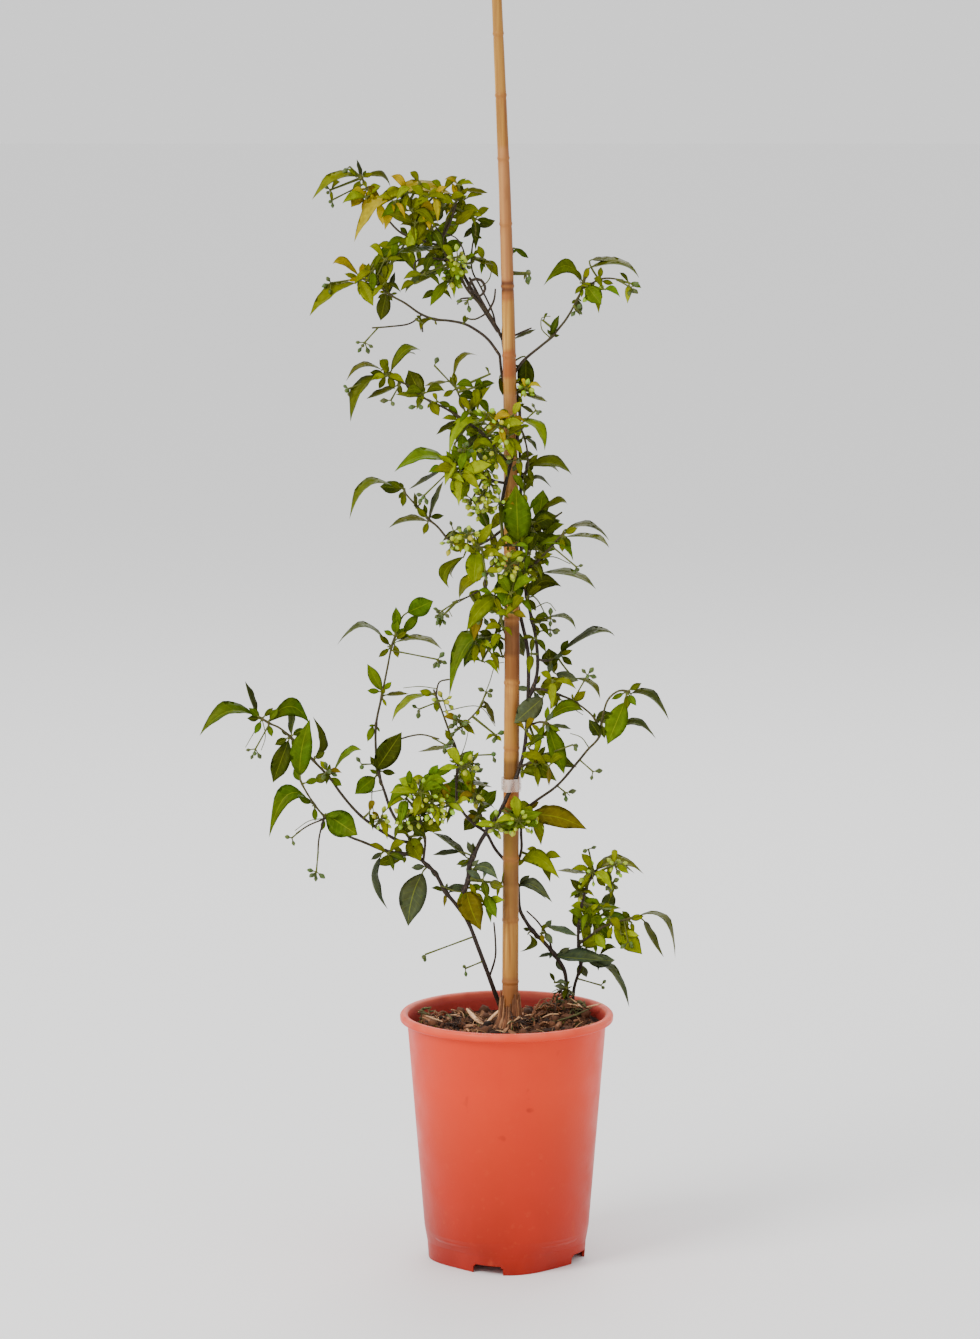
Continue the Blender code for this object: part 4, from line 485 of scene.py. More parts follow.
# Small clusters that thicken the shoots, by stem: x, z, reach, the tones of their leaves and how many buds
TUFTS: dict[str, list] = {
    "stem_left": [(-42, 261, 9, "gdn")],
    "stem_twiner": [
        (-15, 252, 10, "lob"), (-17, 270, 9, "gdg"), (-4, 268, 7, "yo"), (-6, 309, 11, "bl", 8),
        (8, 312, 12, "lby", 12), (18, 312, 9, "oy", 8), (13, 615, 7, "hyh", 7), (13, 694, 3, "o", 3),
    ],
    "stem_second": [
        (20, 492, 8, "ddk"), (19, 483, 7, "dd"), (14, 470, 8, "dk"), (20, 441, 7, "ddd"),
        (30, 455, 6, "d", 3), (12, 488, 9, "oly", 8), (17, 430, 8, "dk"), (18, 522, 10, "dkd"),
        (22, 452, 7, "dkd"), (12, 556, 9, "dok"),
    ],
    "stem_right": [(34, 197, 6, "gd"), (42, 193, 6, "gkdg"), (24, 232, 7, "nd"), (-20, 315, 7, "dnd")],
    "stem_short": [
        (55, 240, 12, "lbyl"), (60, 228, 10, "lbo"), (64, 216, 10, "gdk"), (52, 262, 8, "obo", 6),
        (60, 276, 11, "yloy", 6), (75, 281, 10, "lyo", 8), (74, 268, 7, "dk", 3), (57, 247, 9, "bly"),
        (66, 250, 7, "ob"),
    ],
    "shoot_short_right": [(80, 232, 11, "loy"), (87, 240, 7, "dk"), (72, 243, 8, "yob")],
    "shoot_right_long": [(24, 285, 11, "yod"), (20, 315, 12, "yok")],
    "shoot_low_right": [(20, 352, 11, "oyk"), (29, 351, 13, "onk"), (15, 364, 9, "nd")],
    "shoot_mid_front": [(24, 372, 9, "ooy"), (13, 376, 9, "nyn"), (21, 366, 8, "dnk")],
    "shoot_right_cluster": [(32, 411, 11, "yoy")],
    "shoot_left_centre": [(-18, 530, 10, "o", 10), (-12, 516, 12, "byl"), (-30, 512, 10, "yod", 4)],
    "shoot_right_back": [(24, 512, 12, "dkdkd"), (15, 530, 12, "dkbd"), (20, 503, 8, "dkd")],
    "shoot_right_upper": [
        (8, 566, 10, "dyo", 4), (12, 543, 12, "bld"), (0, 582, 10, "yoyo", 6), (4, 596, 9, "yhn"),
        (-2, 590, 9, "hyo", 4),
    ],
    "shoot_centre_front": [
        (-5, 536, 10, "nyd", 6), (3, 472, 12, "bobl"), (16, 500, 12, "bdb"), (1, 494, 11, "lo", 12),
        (-27, 513, 10, "y", 14), (-38, 508, 8, "n", 8), (-20, 499, 12, "yhoy"), (-15, 488, 9, "oy", 4),
        (5, 506, 9, "bl"), (-8, 500, 8, "ho", 8), (12, 510, 9, "bl"),
    ],
    "shoot_centre_low": [
        (-18, 460, 12, "oyno", 4), (-9, 470, 9, "bob"), (-45, 456, 5, "d", 5), (3, 459, 11, "oyno"),
        (-3, 449, 9, "yo"), (9, 468, 9, "boy"),
    ],
    "shoot_back_left": [
        (-5, 446, 10, "lob"), (-12, 432, 12, "byl"), (2, 438, 8, "oy"), (-3, 428, 9, "oyo"),
        (-17, 425, 11, "byo"), (-21, 438, 10, "loy"),
    ],
    "shoot_centre_left": [
        (-33, 556, 15, "lylboy"), (-12, 550, 9, "o", 12), (-16, 543, 9, "", 12), (-24, 538, 9, "", 10),
        (-42, 557, 9, "bl"), (-35, 565, 11, "lbl"), (-22, 560, 12, "lbd"), (-28, 548, 11, "lyo"),
    ],
    "shoot_upper_left": [
        (-5, 590, 13, "yohoy", 10), (-8, 572, 12, "yoy", 12), (-15, 560, 10, "oyd", 8),
        (-20, 608, 12, "mdmbm"), (-33, 593, 12, "lyb"), (-25, 599, 9, "mom"), (-12, 625, 5, "d"),
        (-57, 612, 9, "odk"), (-22, 616, 10, "dmo"), (-31, 585, 12, "lby"), (-36, 577, 10, "bl"),
        (-14, 582, 10, "hyo", 6), (-83, 624, 9, "yoo"), (-48, 606, 7, "do"),
    ],
    "shoot_top_right": [
        (84, 688, 9, "mdy"), (60, 683, 9, "yo", 6), (48, 670, 4, "o", 3), (25, 662, 6, "d"),
        (66, 684, 8, "lbo"),
    ],
    "shoot_top_left": [
        (-84, 704, 12, "oydo"), (-58, 660, 5, "d"), (-92, 697, 11, "bko"), (-76, 712, 13, "bok"),
        (-68, 718, 10, "bod"), (-84, 688, 9, "dko"), (-78, 703, 11, "bod"),
    ],
    "shoot_top": [
        (-22, 732, 12, "dodok"), (-36, 701, 11, "y", 18), (-50, 748, 11, "hhoy"), (-57, 694, 13, "dkd"),
        (-48, 683, 8, "dk"), (-16, 704, 9, "oom"), (-63, 729, 14, "oyok"), (-40, 745, 10, "ko"),
        (-33, 755, 9, "on"), (-62, 712, 11, "oyo"), (-38, 690, 9, "ly", 6), (-30, 660, 5, "d"),
        (-68, 750, 13, "yohy"), (-56, 747, 13, "oyho"), (-44, 751, 10, "yno"), (-77, 744, 12, "hyoh"),
        (-66, 738, 13, "obko"), (-60, 724, 12, "obk"), (-52, 725, 10, "dko"), (-33, 739, 9, "dok"),
        (-29, 746, 9, "oyd"), (-26, 735, 9, "odk"), (-48, 707, 10, "obd"), (-29, 701, 9, "obd", 4),
        (-62, 688, 9, "dk"), (-22, 706, 8, "od"), (-60, 757, 9, "yoo"),
    ],
    "shoot_top_tip": [(-88, 744, 12, "hnho"), (-96, 747, 11, "hnoy"), (-121, 752, 7, "yo", 2)],
    "shoot_inner_left": [
        (-33, 382, 8, "yn", 4), (-32, 350, 11, "lybl"), (-24, 353, 8, "ly", 4), (-22, 330, 9, "dndn", 6),
        (-8, 373, 5, "oy", 3),
    ],
    "shoot_left_whorl": [
        (-60, 332, 16, "blybl", 6), (-52, 325, 14, "lybo", 10), (-70, 328, 12, "bly"),
        (-62, 318, 12, "dbd", 6), (-42, 325, 10, "oyn", 6), (-75, 310, 10, "dkd"), (-45, 312, 9, "oyd"),
        (-36, 324, 10, "oyb"), (-67, 301, 9, "dko"), (-55, 338, 12, "lyb", 3), (-68, 335, 11, "lb"),
    ],
    "shoot_left_long": [(-125, 347, 7, "nyd", 4), (-88, 313, 9, "no", 13), (-96, 318, 8, "dn")],
    "shoot_left_low": [(-83, 289, 11, "dodk")],
}

# Bare stalks and tendrils, by stem: radius, then x, z, x, z, ...
THREADS: dict[str, list] = {
    "stem_twiner": [(0.9, 5, 648, 10, 654, 17, 657), (0.6, -28, 262, -36, 262, -46, 266)],
    "stem_second": [(0.45, 22, 462, 28, 466, 34, 460), (0.6, 14, 474, 21, 468, 27, 457)],
    "shoot_right_long": [(0.5, 34, 338, 39, 334, 44, 330), (0.45, 58, 364, 52, 371, 44, 374)],
    "shoot_right_front": [(0.45, 20, 496, 32, 498, 44, 493)],
    "shoot_right_cluster": [(0.45, 30, 402, 44, 393, 53, 387)],
    "shoot_centre_low": [(0.45, -20, 473, -32, 467, -40, 462, -38, 456)],
    "shoot_inner_left": [
        (0.4, -50, 405, -60, 407, -72, 406), (0.4, -36, 392, -20, 393, -8, 379),
        (0.45, -17, 396, -12, 410, -8, 422, -2, 424), (0.4, -33, 352, -29, 366, -26, 380),
        (0.6, -35, 330, -24, 328, -14, 322),
    ],
    "shoot_left_back": [(0.5, -91, 350, -94, 332, -93, 318), (0.45, -88, 333, -98, 332, -103, 334)],
    "shoot_left_low": [(0.4, -127, 314, -138, 312, -148, 305)],
    "shoot_left_long": [(0.4, -173, 385, -168, 372, -171, 362), (0.4, -172, 384, -178, 371, -182, 364)],
    "shoot_left_centre": [(0.7, -54, 524, -50, 536, -46, 545)],
    "shoot_top_left": [(0.8, -52, 664, -58, 662, -58, 654)],
    "shoot_top_right": [(0.5, 30, 650, 24, 656, 24, 664, 30, 665)],
    "shoot_top": [
        (1.7, -4, 650, -12, 664, -20, 676, -28, 690, -34, 702), (1.3, -14, 668, -20, 680, -26, 692),
        (1.2, -25, 684, -24, 690, -18, 690, -15, 684, -19, 679, -24, 683),
        (1.1, -44, 720, -39, 730, -35, 742), (0.8, -43, 718, -50, 721, -58, 717),
        (0.8, -50, 699, -58, 705, -64, 700, -60, 694, -55, 697), (0.9, -13, 668, -9, 676, -8, 684),
        (0.5, -20, 685, -12, 691, -10, 703), (0.7, -30, 692, -29, 706, -34, 718, -42, 722),
        (0.8, -22, 677, -32, 677, -34, 673),
    ],
}

# Stalks and splinters on the potting mix: radius, tone, then (x, z, y) points
STALKS = (
    (1.7, 0, (-28, 178, 34), (-22, 171, 22), (-15, 166, 12)),
    (1.3, 0, (-15, 167, 12), (-10, 172, 14), (-3, 179, 18)),
    (0.9, 1, (12, 165, 5), (18, 174, 6), (24, 185, 8)),
    (0.9, 2, (12, 165, 6), (28, 174, 18), (42, 183, 26), (53, 181, 22)),
    (0.8, 0, (38, 173, 30), (52, 178, 24), (67, 182, 14)),
    (0.9, 1, (26, 169, 8), (36, 178, 20), (47, 188, 28)),
    (0.7, 2, (28, 168, -4), (44, 172, 4), (60, 179, 8)),
    (1.0, 1, (-52, 170, 20), (-45, 176, 22), (-38, 172, 24)),
    (0.8, 0, (-62, 176, 14), (-54, 172, 6), (-45, 169, 0)),
    (0.8, 2, (18, 169, 20), (30, 180, 26), (34, 190, 28)),
)

# Clumps of short stalks on the potting mix: x, z, y, reach, tone and how many
CLUMPS = (
    (-55, 173, 14, 9, 2, 44), (-50, 172, 10, 6, 1, 16), (40, 186, 26, 11, 2, 46), (30, 178, 14, 12, 1, 40),
    (50, 178, 16, 11, 2, 30), (-36, 170, 0, 9, 3, 24), (8, 168, -12, 10, 3, 24), (20, 170, -6, 9, 1, 20),
)

# The tones of stalks: straw, dead wood, old leaf stalk, peat and cane fibre
STALK_TONES = ((216, 168, 124), (118, 72, 42), (78, 78, 40), (52, 32, 22), (164, 114, 76))


class Graph:
    """A node tree under construction."""

    def __init__(self, tree: NodeTree) -> None:
        """Keeps the tree that nodes are added to."""
        self.tree = tree

    def add(self, kind: str, sockets: dict | None = None, **settings: object) -> Node:
        """Adds a node.

        Args:
            kind: Blender's name for the node's type.
            sockets: Values or links of its inputs, by name or number.
            settings: The node's own settings.

        Returns:
            The new node.
        """
        node = self.tree.nodes.new(kind)
        for name, value in settings.items():
            setattr(node, name, value)
        for key, value in (sockets or {}).items():
            if isinstance(value, NodeSocket):
                self.tree.links.new(value, node.inputs[key])
            else:
                node.inputs[key].default_value = value
        return node

    def out(self, kind: str, sockets: dict | None = None, **settings: object) -> NodeSocket:
        """The first output of a new node."""
        return self.add(kind, sockets, **settings).outputs[0]

    def math(self, operation: str, *values: object) -> NodeSocket:
        """A sum, sine or other function of numbers."""
        return self.out("ShaderNodeMath", dict(enumerate(values)), operation=operation)

    def times(self, total: object, *factors: object) -> NodeSocket:
        """The product of numbers."""
        for factor in factors:
            total = self.math("MULTIPLY", total, factor)
        return total

    def plus(self, total: object, *vectors: object) -> NodeSocket:
        """The sum of vectors."""
        for vector in vectors:
            total = self.out("ShaderNodeVectorMath", {0: total, 1: vector})
        return total

    def scaled(self, vector: object, factor: object) -> NodeSocket:
        """A vector or colour times a number."""
        return self.out("ShaderNodeVectorMath", {0: vector, 3: factor}, operation="SCALE")

    def split(self, vector: object) -> list[NodeSocket]:
        """The three parts of a vector."""
        return list(self.add("ShaderNodeSeparateXYZ", {0: vector}).outputs)


class GeometryTree(Graph):
    """A geometry node group with named inputs."""

    def __init__(self, name: str, **inputs: str) -> None:
        """Makes the group.

        Args:
            name: The group's name.
            inputs: The type of each named input.
        """
        super().__init__(bpy.data.node_groups.new(name, "GeometryNodeTree"))
        face = self.tree.interface
        face.new_socket("Geometry", in_out="INPUT", socket_type="NodeSocketGeometry")
        self.keys = {}
        for label, kind in inputs.items():
            socket = face.new_socket(label, in_out="INPUT", socket_type="NodeSocket" + kind)
            self.keys[label] = socket.identifier
        face.new_socket("Geometry", in_out="OUTPUT", socket_type="NodeSocketGeometry")
        self.given = list(self.add("NodeGroupInput").outputs)[:len(inputs) + 1]

    def field(self, name: str, kind: str = "FLOAT_VECTOR") -> NodeSocket:
        """A named attribute of the geometry."""
        return self.out("GeometryNodeInputNamedAttribute", {"Name": name}, data_type=kind)

    def set_out(self, points: NodeSocket, unit: NodeSocket, **how: object) -> NodeSocket:
        """Puts the shape of a unit object at each point."""
        form = self.add("GeometryNodeObjectInfo", {0: unit}).outputs["Geometry"]
        return self.out("GeometryNodeInstanceOnPoints", {"Points": points, "Instance": form, **how})

    def dressed(self, geometry: NodeSocket, finish: NodeSocket) -> NodeSocket:
        """Realizes a branch's instances, shades it smooth and sets its material."""
        real = self.out("GeometryNodeRealizeInstances", {0: geometry})
        shaded = self.out("GeometryNodeSetShadeSmooth", {0: real})
        return self.out("GeometryNodeSetMaterial", {0: shaded, "Material": finish})

    def ended(self, *branches: NodeSocket) -> None:
        """Joins finished branches into the group's result."""
        join = self.add("GeometryNodeJoinGeometry")
        for branch in branches:
            self.tree.links.new(branch, join.inputs[0])
        self.add("NodeGroupOutput", {0: join.outputs[0]})

    def run(self, host: Object, values: dict[str, object]) -> Object:
        """Runs the group on a host.

        Args:
            host: The object that holds the group's points or surface.
            values: The group's inputs, by name.

        Returns:
            A plain mesh object that stands for the host.
        """
        modifier = host.modifiers.new("grown", "NODES")
        modifier.node_group = self.tree
        for label, value in values.items():
            modifier[self.keys[label]] = value
        return baked(host)


def placed(name: str, mesh: Mesh) -> Object:
    """Links a mesh into the scene as an object at the origin."""
    mesh.name = name
    obj = bpy.data.objects.new(name, mesh)
    bpy.context.scene.collection.objects.link(obj)
    return obj


def removed(*objects: Object) -> None:
    """Deletes helper objects."""
    for obj in objects:
        bpy.data.objects.remove(obj)


def shape(name: str, points: list, faces: list, edges: list | None = None) -> Object:
    """An object from points in millimetres."""
    mesh = bpy.data.meshes.new(name)
    mesh.from_pydata([Vector(p) * MM for p in points], edges or [], faces)
    return placed(name, mesh)


def written(name: str, work: bmesh.types.BMesh) -> Object:
    """An object from a worked mesh, which is freed."""
    mesh = bpy.data.meshes.new(name)
    work.to_mesh(mesh)
    work.free()
    return placed(name, mesh)


def marked(obj: Object, name: str, kind: str, values: list) -> None:
    """Stores a value at each point of an object's mesh, those of vectors in one row."""
    key = "vector" if kind == "FLOAT_VECTOR" else "value"
    obj.data.attributes.new(name, kind, "POINT").data.foreach_set(key, values)


def tidied(obj: Object, smooth_below: float = 40.0) -> Object:
    """Turns an object's faces outwards and shades it smooth.

    Args:
        obj: The object, which is changed.
        smooth_below: The angle between faces that still counts as smooth, in degrees.

    Returns:
        The same object.
    """
    work = bmesh.new()
    work.from_mesh(obj.data)
    bmesh.ops.remove_doubles(work, verts=work.verts, dist=TINY)
    bmesh.ops.recalc_face_normals(work, faces=work.faces)
    work.to_mesh(obj.data)
    work.free()
    obj.data.shade_smooth()
    obj.data.set_sharp_from_angle(angle=radians(smooth_below))
    return obj


def baked(obj: Object) -> Object:
    """Applies an object's modifiers and puts a plain mesh object in its place."""
    graph = bpy.context.evaluated_depsgraph_get()
    graph.update()
    mesh = bpy.data.meshes.new_from_object(obj.evaluated_get(graph))
    name = obj.name
    removed(obj)
    return placed(name, mesh)


def cut(obj: Object, *tools: Object) -> Object:
    """Cuts tools out of an object and deletes them."""
    for tool in tools:
        step = obj.modifiers.new("cut", "BOOLEAN")
        step.object, step.solver = tool, "EXACT"
    obj = baked(obj)
    removed(*tools)
    return obj


def kept(piece: Object, slot: str, *nodes: str) -> Object:
    """Makes a piece ride on the part and stand for nodes, which are hidden."""
    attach(piece, "root")
    if nodes:
        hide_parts(*nodes)
    LOG.info("%s: %d faces", piece.name, len(piece.data.polygons))
    return piece


def lathe(profile: list[tuple[float, float]], sides: int) -> tuple[list, list]:
    """Turns a profile about the upright axis.

    Args:
        profile: Radius and height of each point, from the axis back to it.
        sides: How many pieces the turn has.

    Returns:
        The points and faces of the closed shape.
    """
    points, faces, rows = [], [], []
    turns = [2 * pi * i / sides for i in range(sides)]
    for r, z in profile:
        if r < AT_AXIS:
            rows.append([len(points)] * sides)
            points.append((0.0, 0.0, z))
            continue
        rows.append(list(range(len(points), len(points) + sides)))
        points += [(r * cos(t), r * sin(t), z) for t in turns]
    for row, following in zip(rows, rows[1:]):
        for i in range(sides):
            j = (i + 1) % sides
            faces.append(tuple(dict.fromkeys((row[i], following[i], following[j], row[j]))))
    return points, faces


def level(turn: float) -> Vector:
    """The level direction at a turn in radians."""
    return Vector((cos(turn), sin(turn), 0.0))


def bow(a: Vector, b: Vector, c: Vector, t: float) -> Vector:
    """A point of the curve from a to c that is drawn towards b."""
    return a * (1 - t) ** 2 + b * (2 * t * (1 - t)) + c * t ** 2


def rounded(profile: list[tuple[float, float]], reach: float, pieces: int = 4) -> list[tuple[float, float]]:
    """Draws the corners of a profile round.

    Args:
        profile: Radius and height of each point.
        reach: How far from a corner its round starts at most, in millimetres.
        pieces: How many pieces a round has.

    Returns:
        The new profile.
    """
    made = [profile[0]]
    for a, b, c in zip(profile, profile[1:], profile[2:]):
        before, corner, after = Vector(a), Vector(b), Vector(c)
        most = min(reach, (before - corner).length * 0.45, (after - corner).length * 0.45)
        start = corner + (before - corner).normalized() * most
        end = corner + (after - corner).normalized() * most
        made += [tuple(bow(start, corner, end, i / pieces)) for i in range(pieces + 1)]
    return made + [profile[-1]]


class Surface(Graph):
    """A Principled material under construction. Its colours are out of 255."""

    def __init__(self, name: str, **fixed: object) -> None:
        """Starts a material.

        Args:
            name: The material's name.
            fixed: Values that are the same all over, by the shader's socket names with underscores.
        """
        self.material = bpy.data.materials.new(name)
        self.material.use_nodes = True
        super().__init__(self.material.node_tree)
        self.tree.nodes.clear()
        named = {key.replace("_", " "): rgba(value) for key, value in fixed.items()}
        self.shader = self.add("ShaderNodeBsdfPrincipled", named)
        self.add("ShaderNodeOutputMaterial", {0: self.shader.outputs[0]})
        self.place = self.add("ShaderNodeTexCoord").outputs["Object"]

    def drive(self, socket: str, value: NodeSocket) -> None:
        """Links a pattern to one of the shader's sockets."""
        self.tree.links.new(value, self.shader.inputs[socket])

    def cloud(self, scale: float, detail: float = 3.0, stretch: tuple | None = None) -> NodeSocket:
        """A noise pattern, about 0 to 1, which may be stretched."""
        where = self.out("ShaderNodeMapping", {0: self.place, "Scale": stretch}) if stretch else self.place
        return self.out("ShaderNodeTexNoise", {"Vector": where, "Scale": scale, "Detail": detail})

    def spread(self, value: object, low: float, high: float, to: tuple = (0.0, 1.0)) -> NodeSocket:
        """Stretches a range of a value to another, held at its ends."""
        return self.out("ShaderNodeMapRange", {0: value, 1: low, 2: high, 3: to[0], 4: to[1]})

    def mix(self, share: object, a: object, b: object) -> NodeSocket:
        """Mixes two colours."""
        sockets = {0: share, 6: rgba(a), 7: rgba(b)}
        return self.add("ShaderNodeMix", sockets, data_type="RGBA").outputs[2]

    def over(self, a: object, b: object, value: object, low: float, high: float,
             most: float = 1.0) -> NodeSocket:
        """Lays a colour over another.

        Args:
            a: The colour below.
            b: The colour on top.
            value: The pattern that it follows.
            low: The pattern's value where b begins to show.
            high: The pattern's value where b shows most.
            most: The largest share of b.

        Returns:
            The mixed colour.
        """
        return self.mix(self.spread(value, low, high, (0.0, most)), a, b)

    def field(self, name: str, output: str = "Color") -> NodeSocket:
        """A named attribute of the surface."""
        return self.add("ShaderNodeAttribute", attribute_name=name).outputs[output]

    def raised(self, height: object, strength: float, depth: float) -> None:
        """Gives the shader a bump of a depth in metres."""
        sockets = {"Strength": strength, "Distance": depth, "Height": height}
        self.drive("Normal", self.out("ShaderNodeBump", sockets))


@dataclass(frozen=True)
class LeafSkin:
    """The waxy skin of a leaf: its tone, paler veins, a dull underside, faint mottling and painted shade
    towards its foot.
    """

    veins: float = 8.0
    slant: float = 1.3
    gloss: float = 0.42

    def material(self) -> Material:
        """Builds the material."""
        skin = Surface("leaf skin", Specular_IOR_Level=0.2, Specular_Tint=(226, 230, 120))
        across, along, side = skin.split(skin.field("blade", "Vector"))
        from_rib = skin.math("ABSOLUTE", across)
        rib = skin.spread(from_rib, 0.015, 0.06, (1.0, 0.0))
        phase = skin.math("SUBTRACT", skin.times(along, self.veins), skin.times(from_rib, self.slant))
        wave = skin.math("ABSOLUTE", skin.math("SINE", skin.times(phase, pi)))
        vein = skin.times(skin.spread(wave, 0.0, 0.22, (1.0, 0.0)),
                          skin.spread(from_rib, 0.55, 1.0, (1.0, 0.0)))
        # Random mottling, times painted shade that darkens each blade towards its foot
        mottle_and_foot_shade = skin.times(skin.spread(skin.cloud(240.0, 4.0), 0.3, 0.7, (0.68, 1.22)),
                            skin.spread(along, 0.0, 0.45, (0.72, 1.06)))
        patch = skin.spread(skin.cloud(45.0, 2.0), 0.35, 0.65)
        under = skin.spread(side, -0.05, -0.3)
        tone = skin.scaled(skin.field("tone"), mottle_and_foot_shade)
        for mark, share, colour in ((patch, 0.14, (124, 112, 6)), (vein, 0.16, (128, 140, 24)),
                                    (rib, 0.34, (150, 160, 40)), (under, 0.35, (88, 106, 34))):
            tone = skin.mix(skin.times(mark, share), tone, colour)
        skin.drive("Base Color", tone)
        skin.drive("Roughness", skin.spread(under, 0.0, 1.0, (self.gloss, 0.62)))
        height = skin.math("SUBTRACT", skin.times(wave, 0.6), rib)
        skin.raised(skin.math("ADD", height, skin.cloud(900.0, 2.0)), 0.35, 0.0004)
        return skin.material


@dataclass(frozen=True)
class Bark:
    """The skin of stems and shoots, dark and corky when old and smooth when young."""

    def material(self) -> Material:
        """Builds the material."""
        bark = Surface("bark", Roughness=0.66, Specular_IOR_Level=0.3)
        grain = bark.cloud(520.0, 5.0, (1.0, 1.0, 0.35))
        tone = bark.scaled(bark.field("tone"), bark.spread(grain, 0.3, 0.72, (0.62, 1.35)))
        bark.drive("Base Color", bark.over(tone, (150, 126, 96), bark.cloud(1100.0, 1.0), 0.64, 0.72, 0.35))
        bark.raised(grain, 0.7, 0.0005)
        return bark.material


@dataclass(frozen=True)
class BudSkin:
    """A closed bud, green at its cup and paler towards its tip."""

    def material(self) -> Material:
        """Builds the material."""
        skin = Surface("bud skin", Roughness=0.5, Specular_IOR_Level=0.4, Subsurface_Weight=0.15,
                       Subsurface_Scale=0.002)
        along = skin.split(skin.field("blade", "Vector"))[1]
        tone = skin.field("tone")
        tip = skin.out("ShaderNodeVectorMath", {0: tone, 1: (1.6, 1.6, 2.6)}, operation="MULTIPLY")
        body = skin.over(tone, tip, along, 0.3, 0.95)
        skin.drive("Base Color", skin.over(body, (72, 84, 10), along, 0.3, 0.2, 0.7))
        return skin.material


@dataclass(frozen=True)
class PotPlastic:
    """Moulded terracotta-coloured plastic, a little scuffed and dusty, thinner and redder inside, with
    painted shade there.
    """

    body: tuple = (216, 53, 12)
    # low: painted shade, the colour that the pot darkens to towards its foot
    low: tuple = (132, 20, 8)
    # inside: redder plastic, darkened as painted shade in the pot's hollow
    inside: tuple = (158, 52, 46)

    def material(self, rim_z: float) -> Material:
        """Builds the material of a pot whose rim stands at a height in metres."""
        plastic = Surface("pot plastic", Specular_IOR_Level=0.32, Specular_Tint=(255, 216, 204),
                          Subsurface_Weight=0.05, Subsurface_Scale=0.003)
        x, y, z = plastic.split(plastic.place)
        nx, ny, _ = plastic.split(plastic.add("ShaderNodeNewGeometry").outputs["Normal"])
        outward = plastic.math("ADD", plastic.times(nx, x), plastic.times(ny, y))
        flow = plastic.cloud(22.0, 4.0, (1.0, 1.0, 0.6))
        mark = plastic.times(plastic.spread(plastic.cloud(95.0, 1.0), 0.7, 0.78, (0.0, 0.5)),
                             plastic.spread(flow, 0.45, 0.6))
        # Painted highlight along the rim's top edge, with some pale wear
        rim_highlight_and_wear = plastic.times(plastic.spread(z, rim_z - 0.005, rim_z - 0.001, (0.0, 0.55)),
                             plastic.spread(plastic.cloud(70.0, 4.0), 0.3, 0.6, (0.4, 1.0)))
        dust = plastic.times(plastic.spread(plastic.cloud(160.0, 6.0), 0.6, 0.78, (0.0, 0.25)),
                             plastic.spread(z, 0.0, rim_z, (1.0, 0.25)))
        # Painted shade: darker towards the bottom
        tone = plastic.over(self.low, self.body, z, 0.0, rim_z * 0.75)
        tone = plastic.over(tone, (200, 34, 8), flow, 0.35, 0.68, 0.4)
        tone = plastic.mix(mark, tone, (140, 26, 14))
        # Redder inside, and darker there as painted shade in the hollow
        tone = plastic.over(tone, self.inside, outward, -0.004, -0.03)
        tone = plastic.mix(rim_highlight_and_wear, tone, (232, 112, 84))
        plastic.drive("Base Color", plastic.mix(dust, tone, (206, 82, 44)))
        rough = plastic.spread(plastic.cloud(60.0, 5.0), 0.3, 0.7, (0.34, 0.5))
        plastic.drive("Roughness", plastic.math("ADD", rough, plastic.times(dust, 0.4)))
        grain = plastic.math("ADD", plastic.cloud(30.0, 2.0), plastic.cloud(700.0, 2.0))
        plastic.raised(grain, 0.12, 0.0006)
        return plastic.material


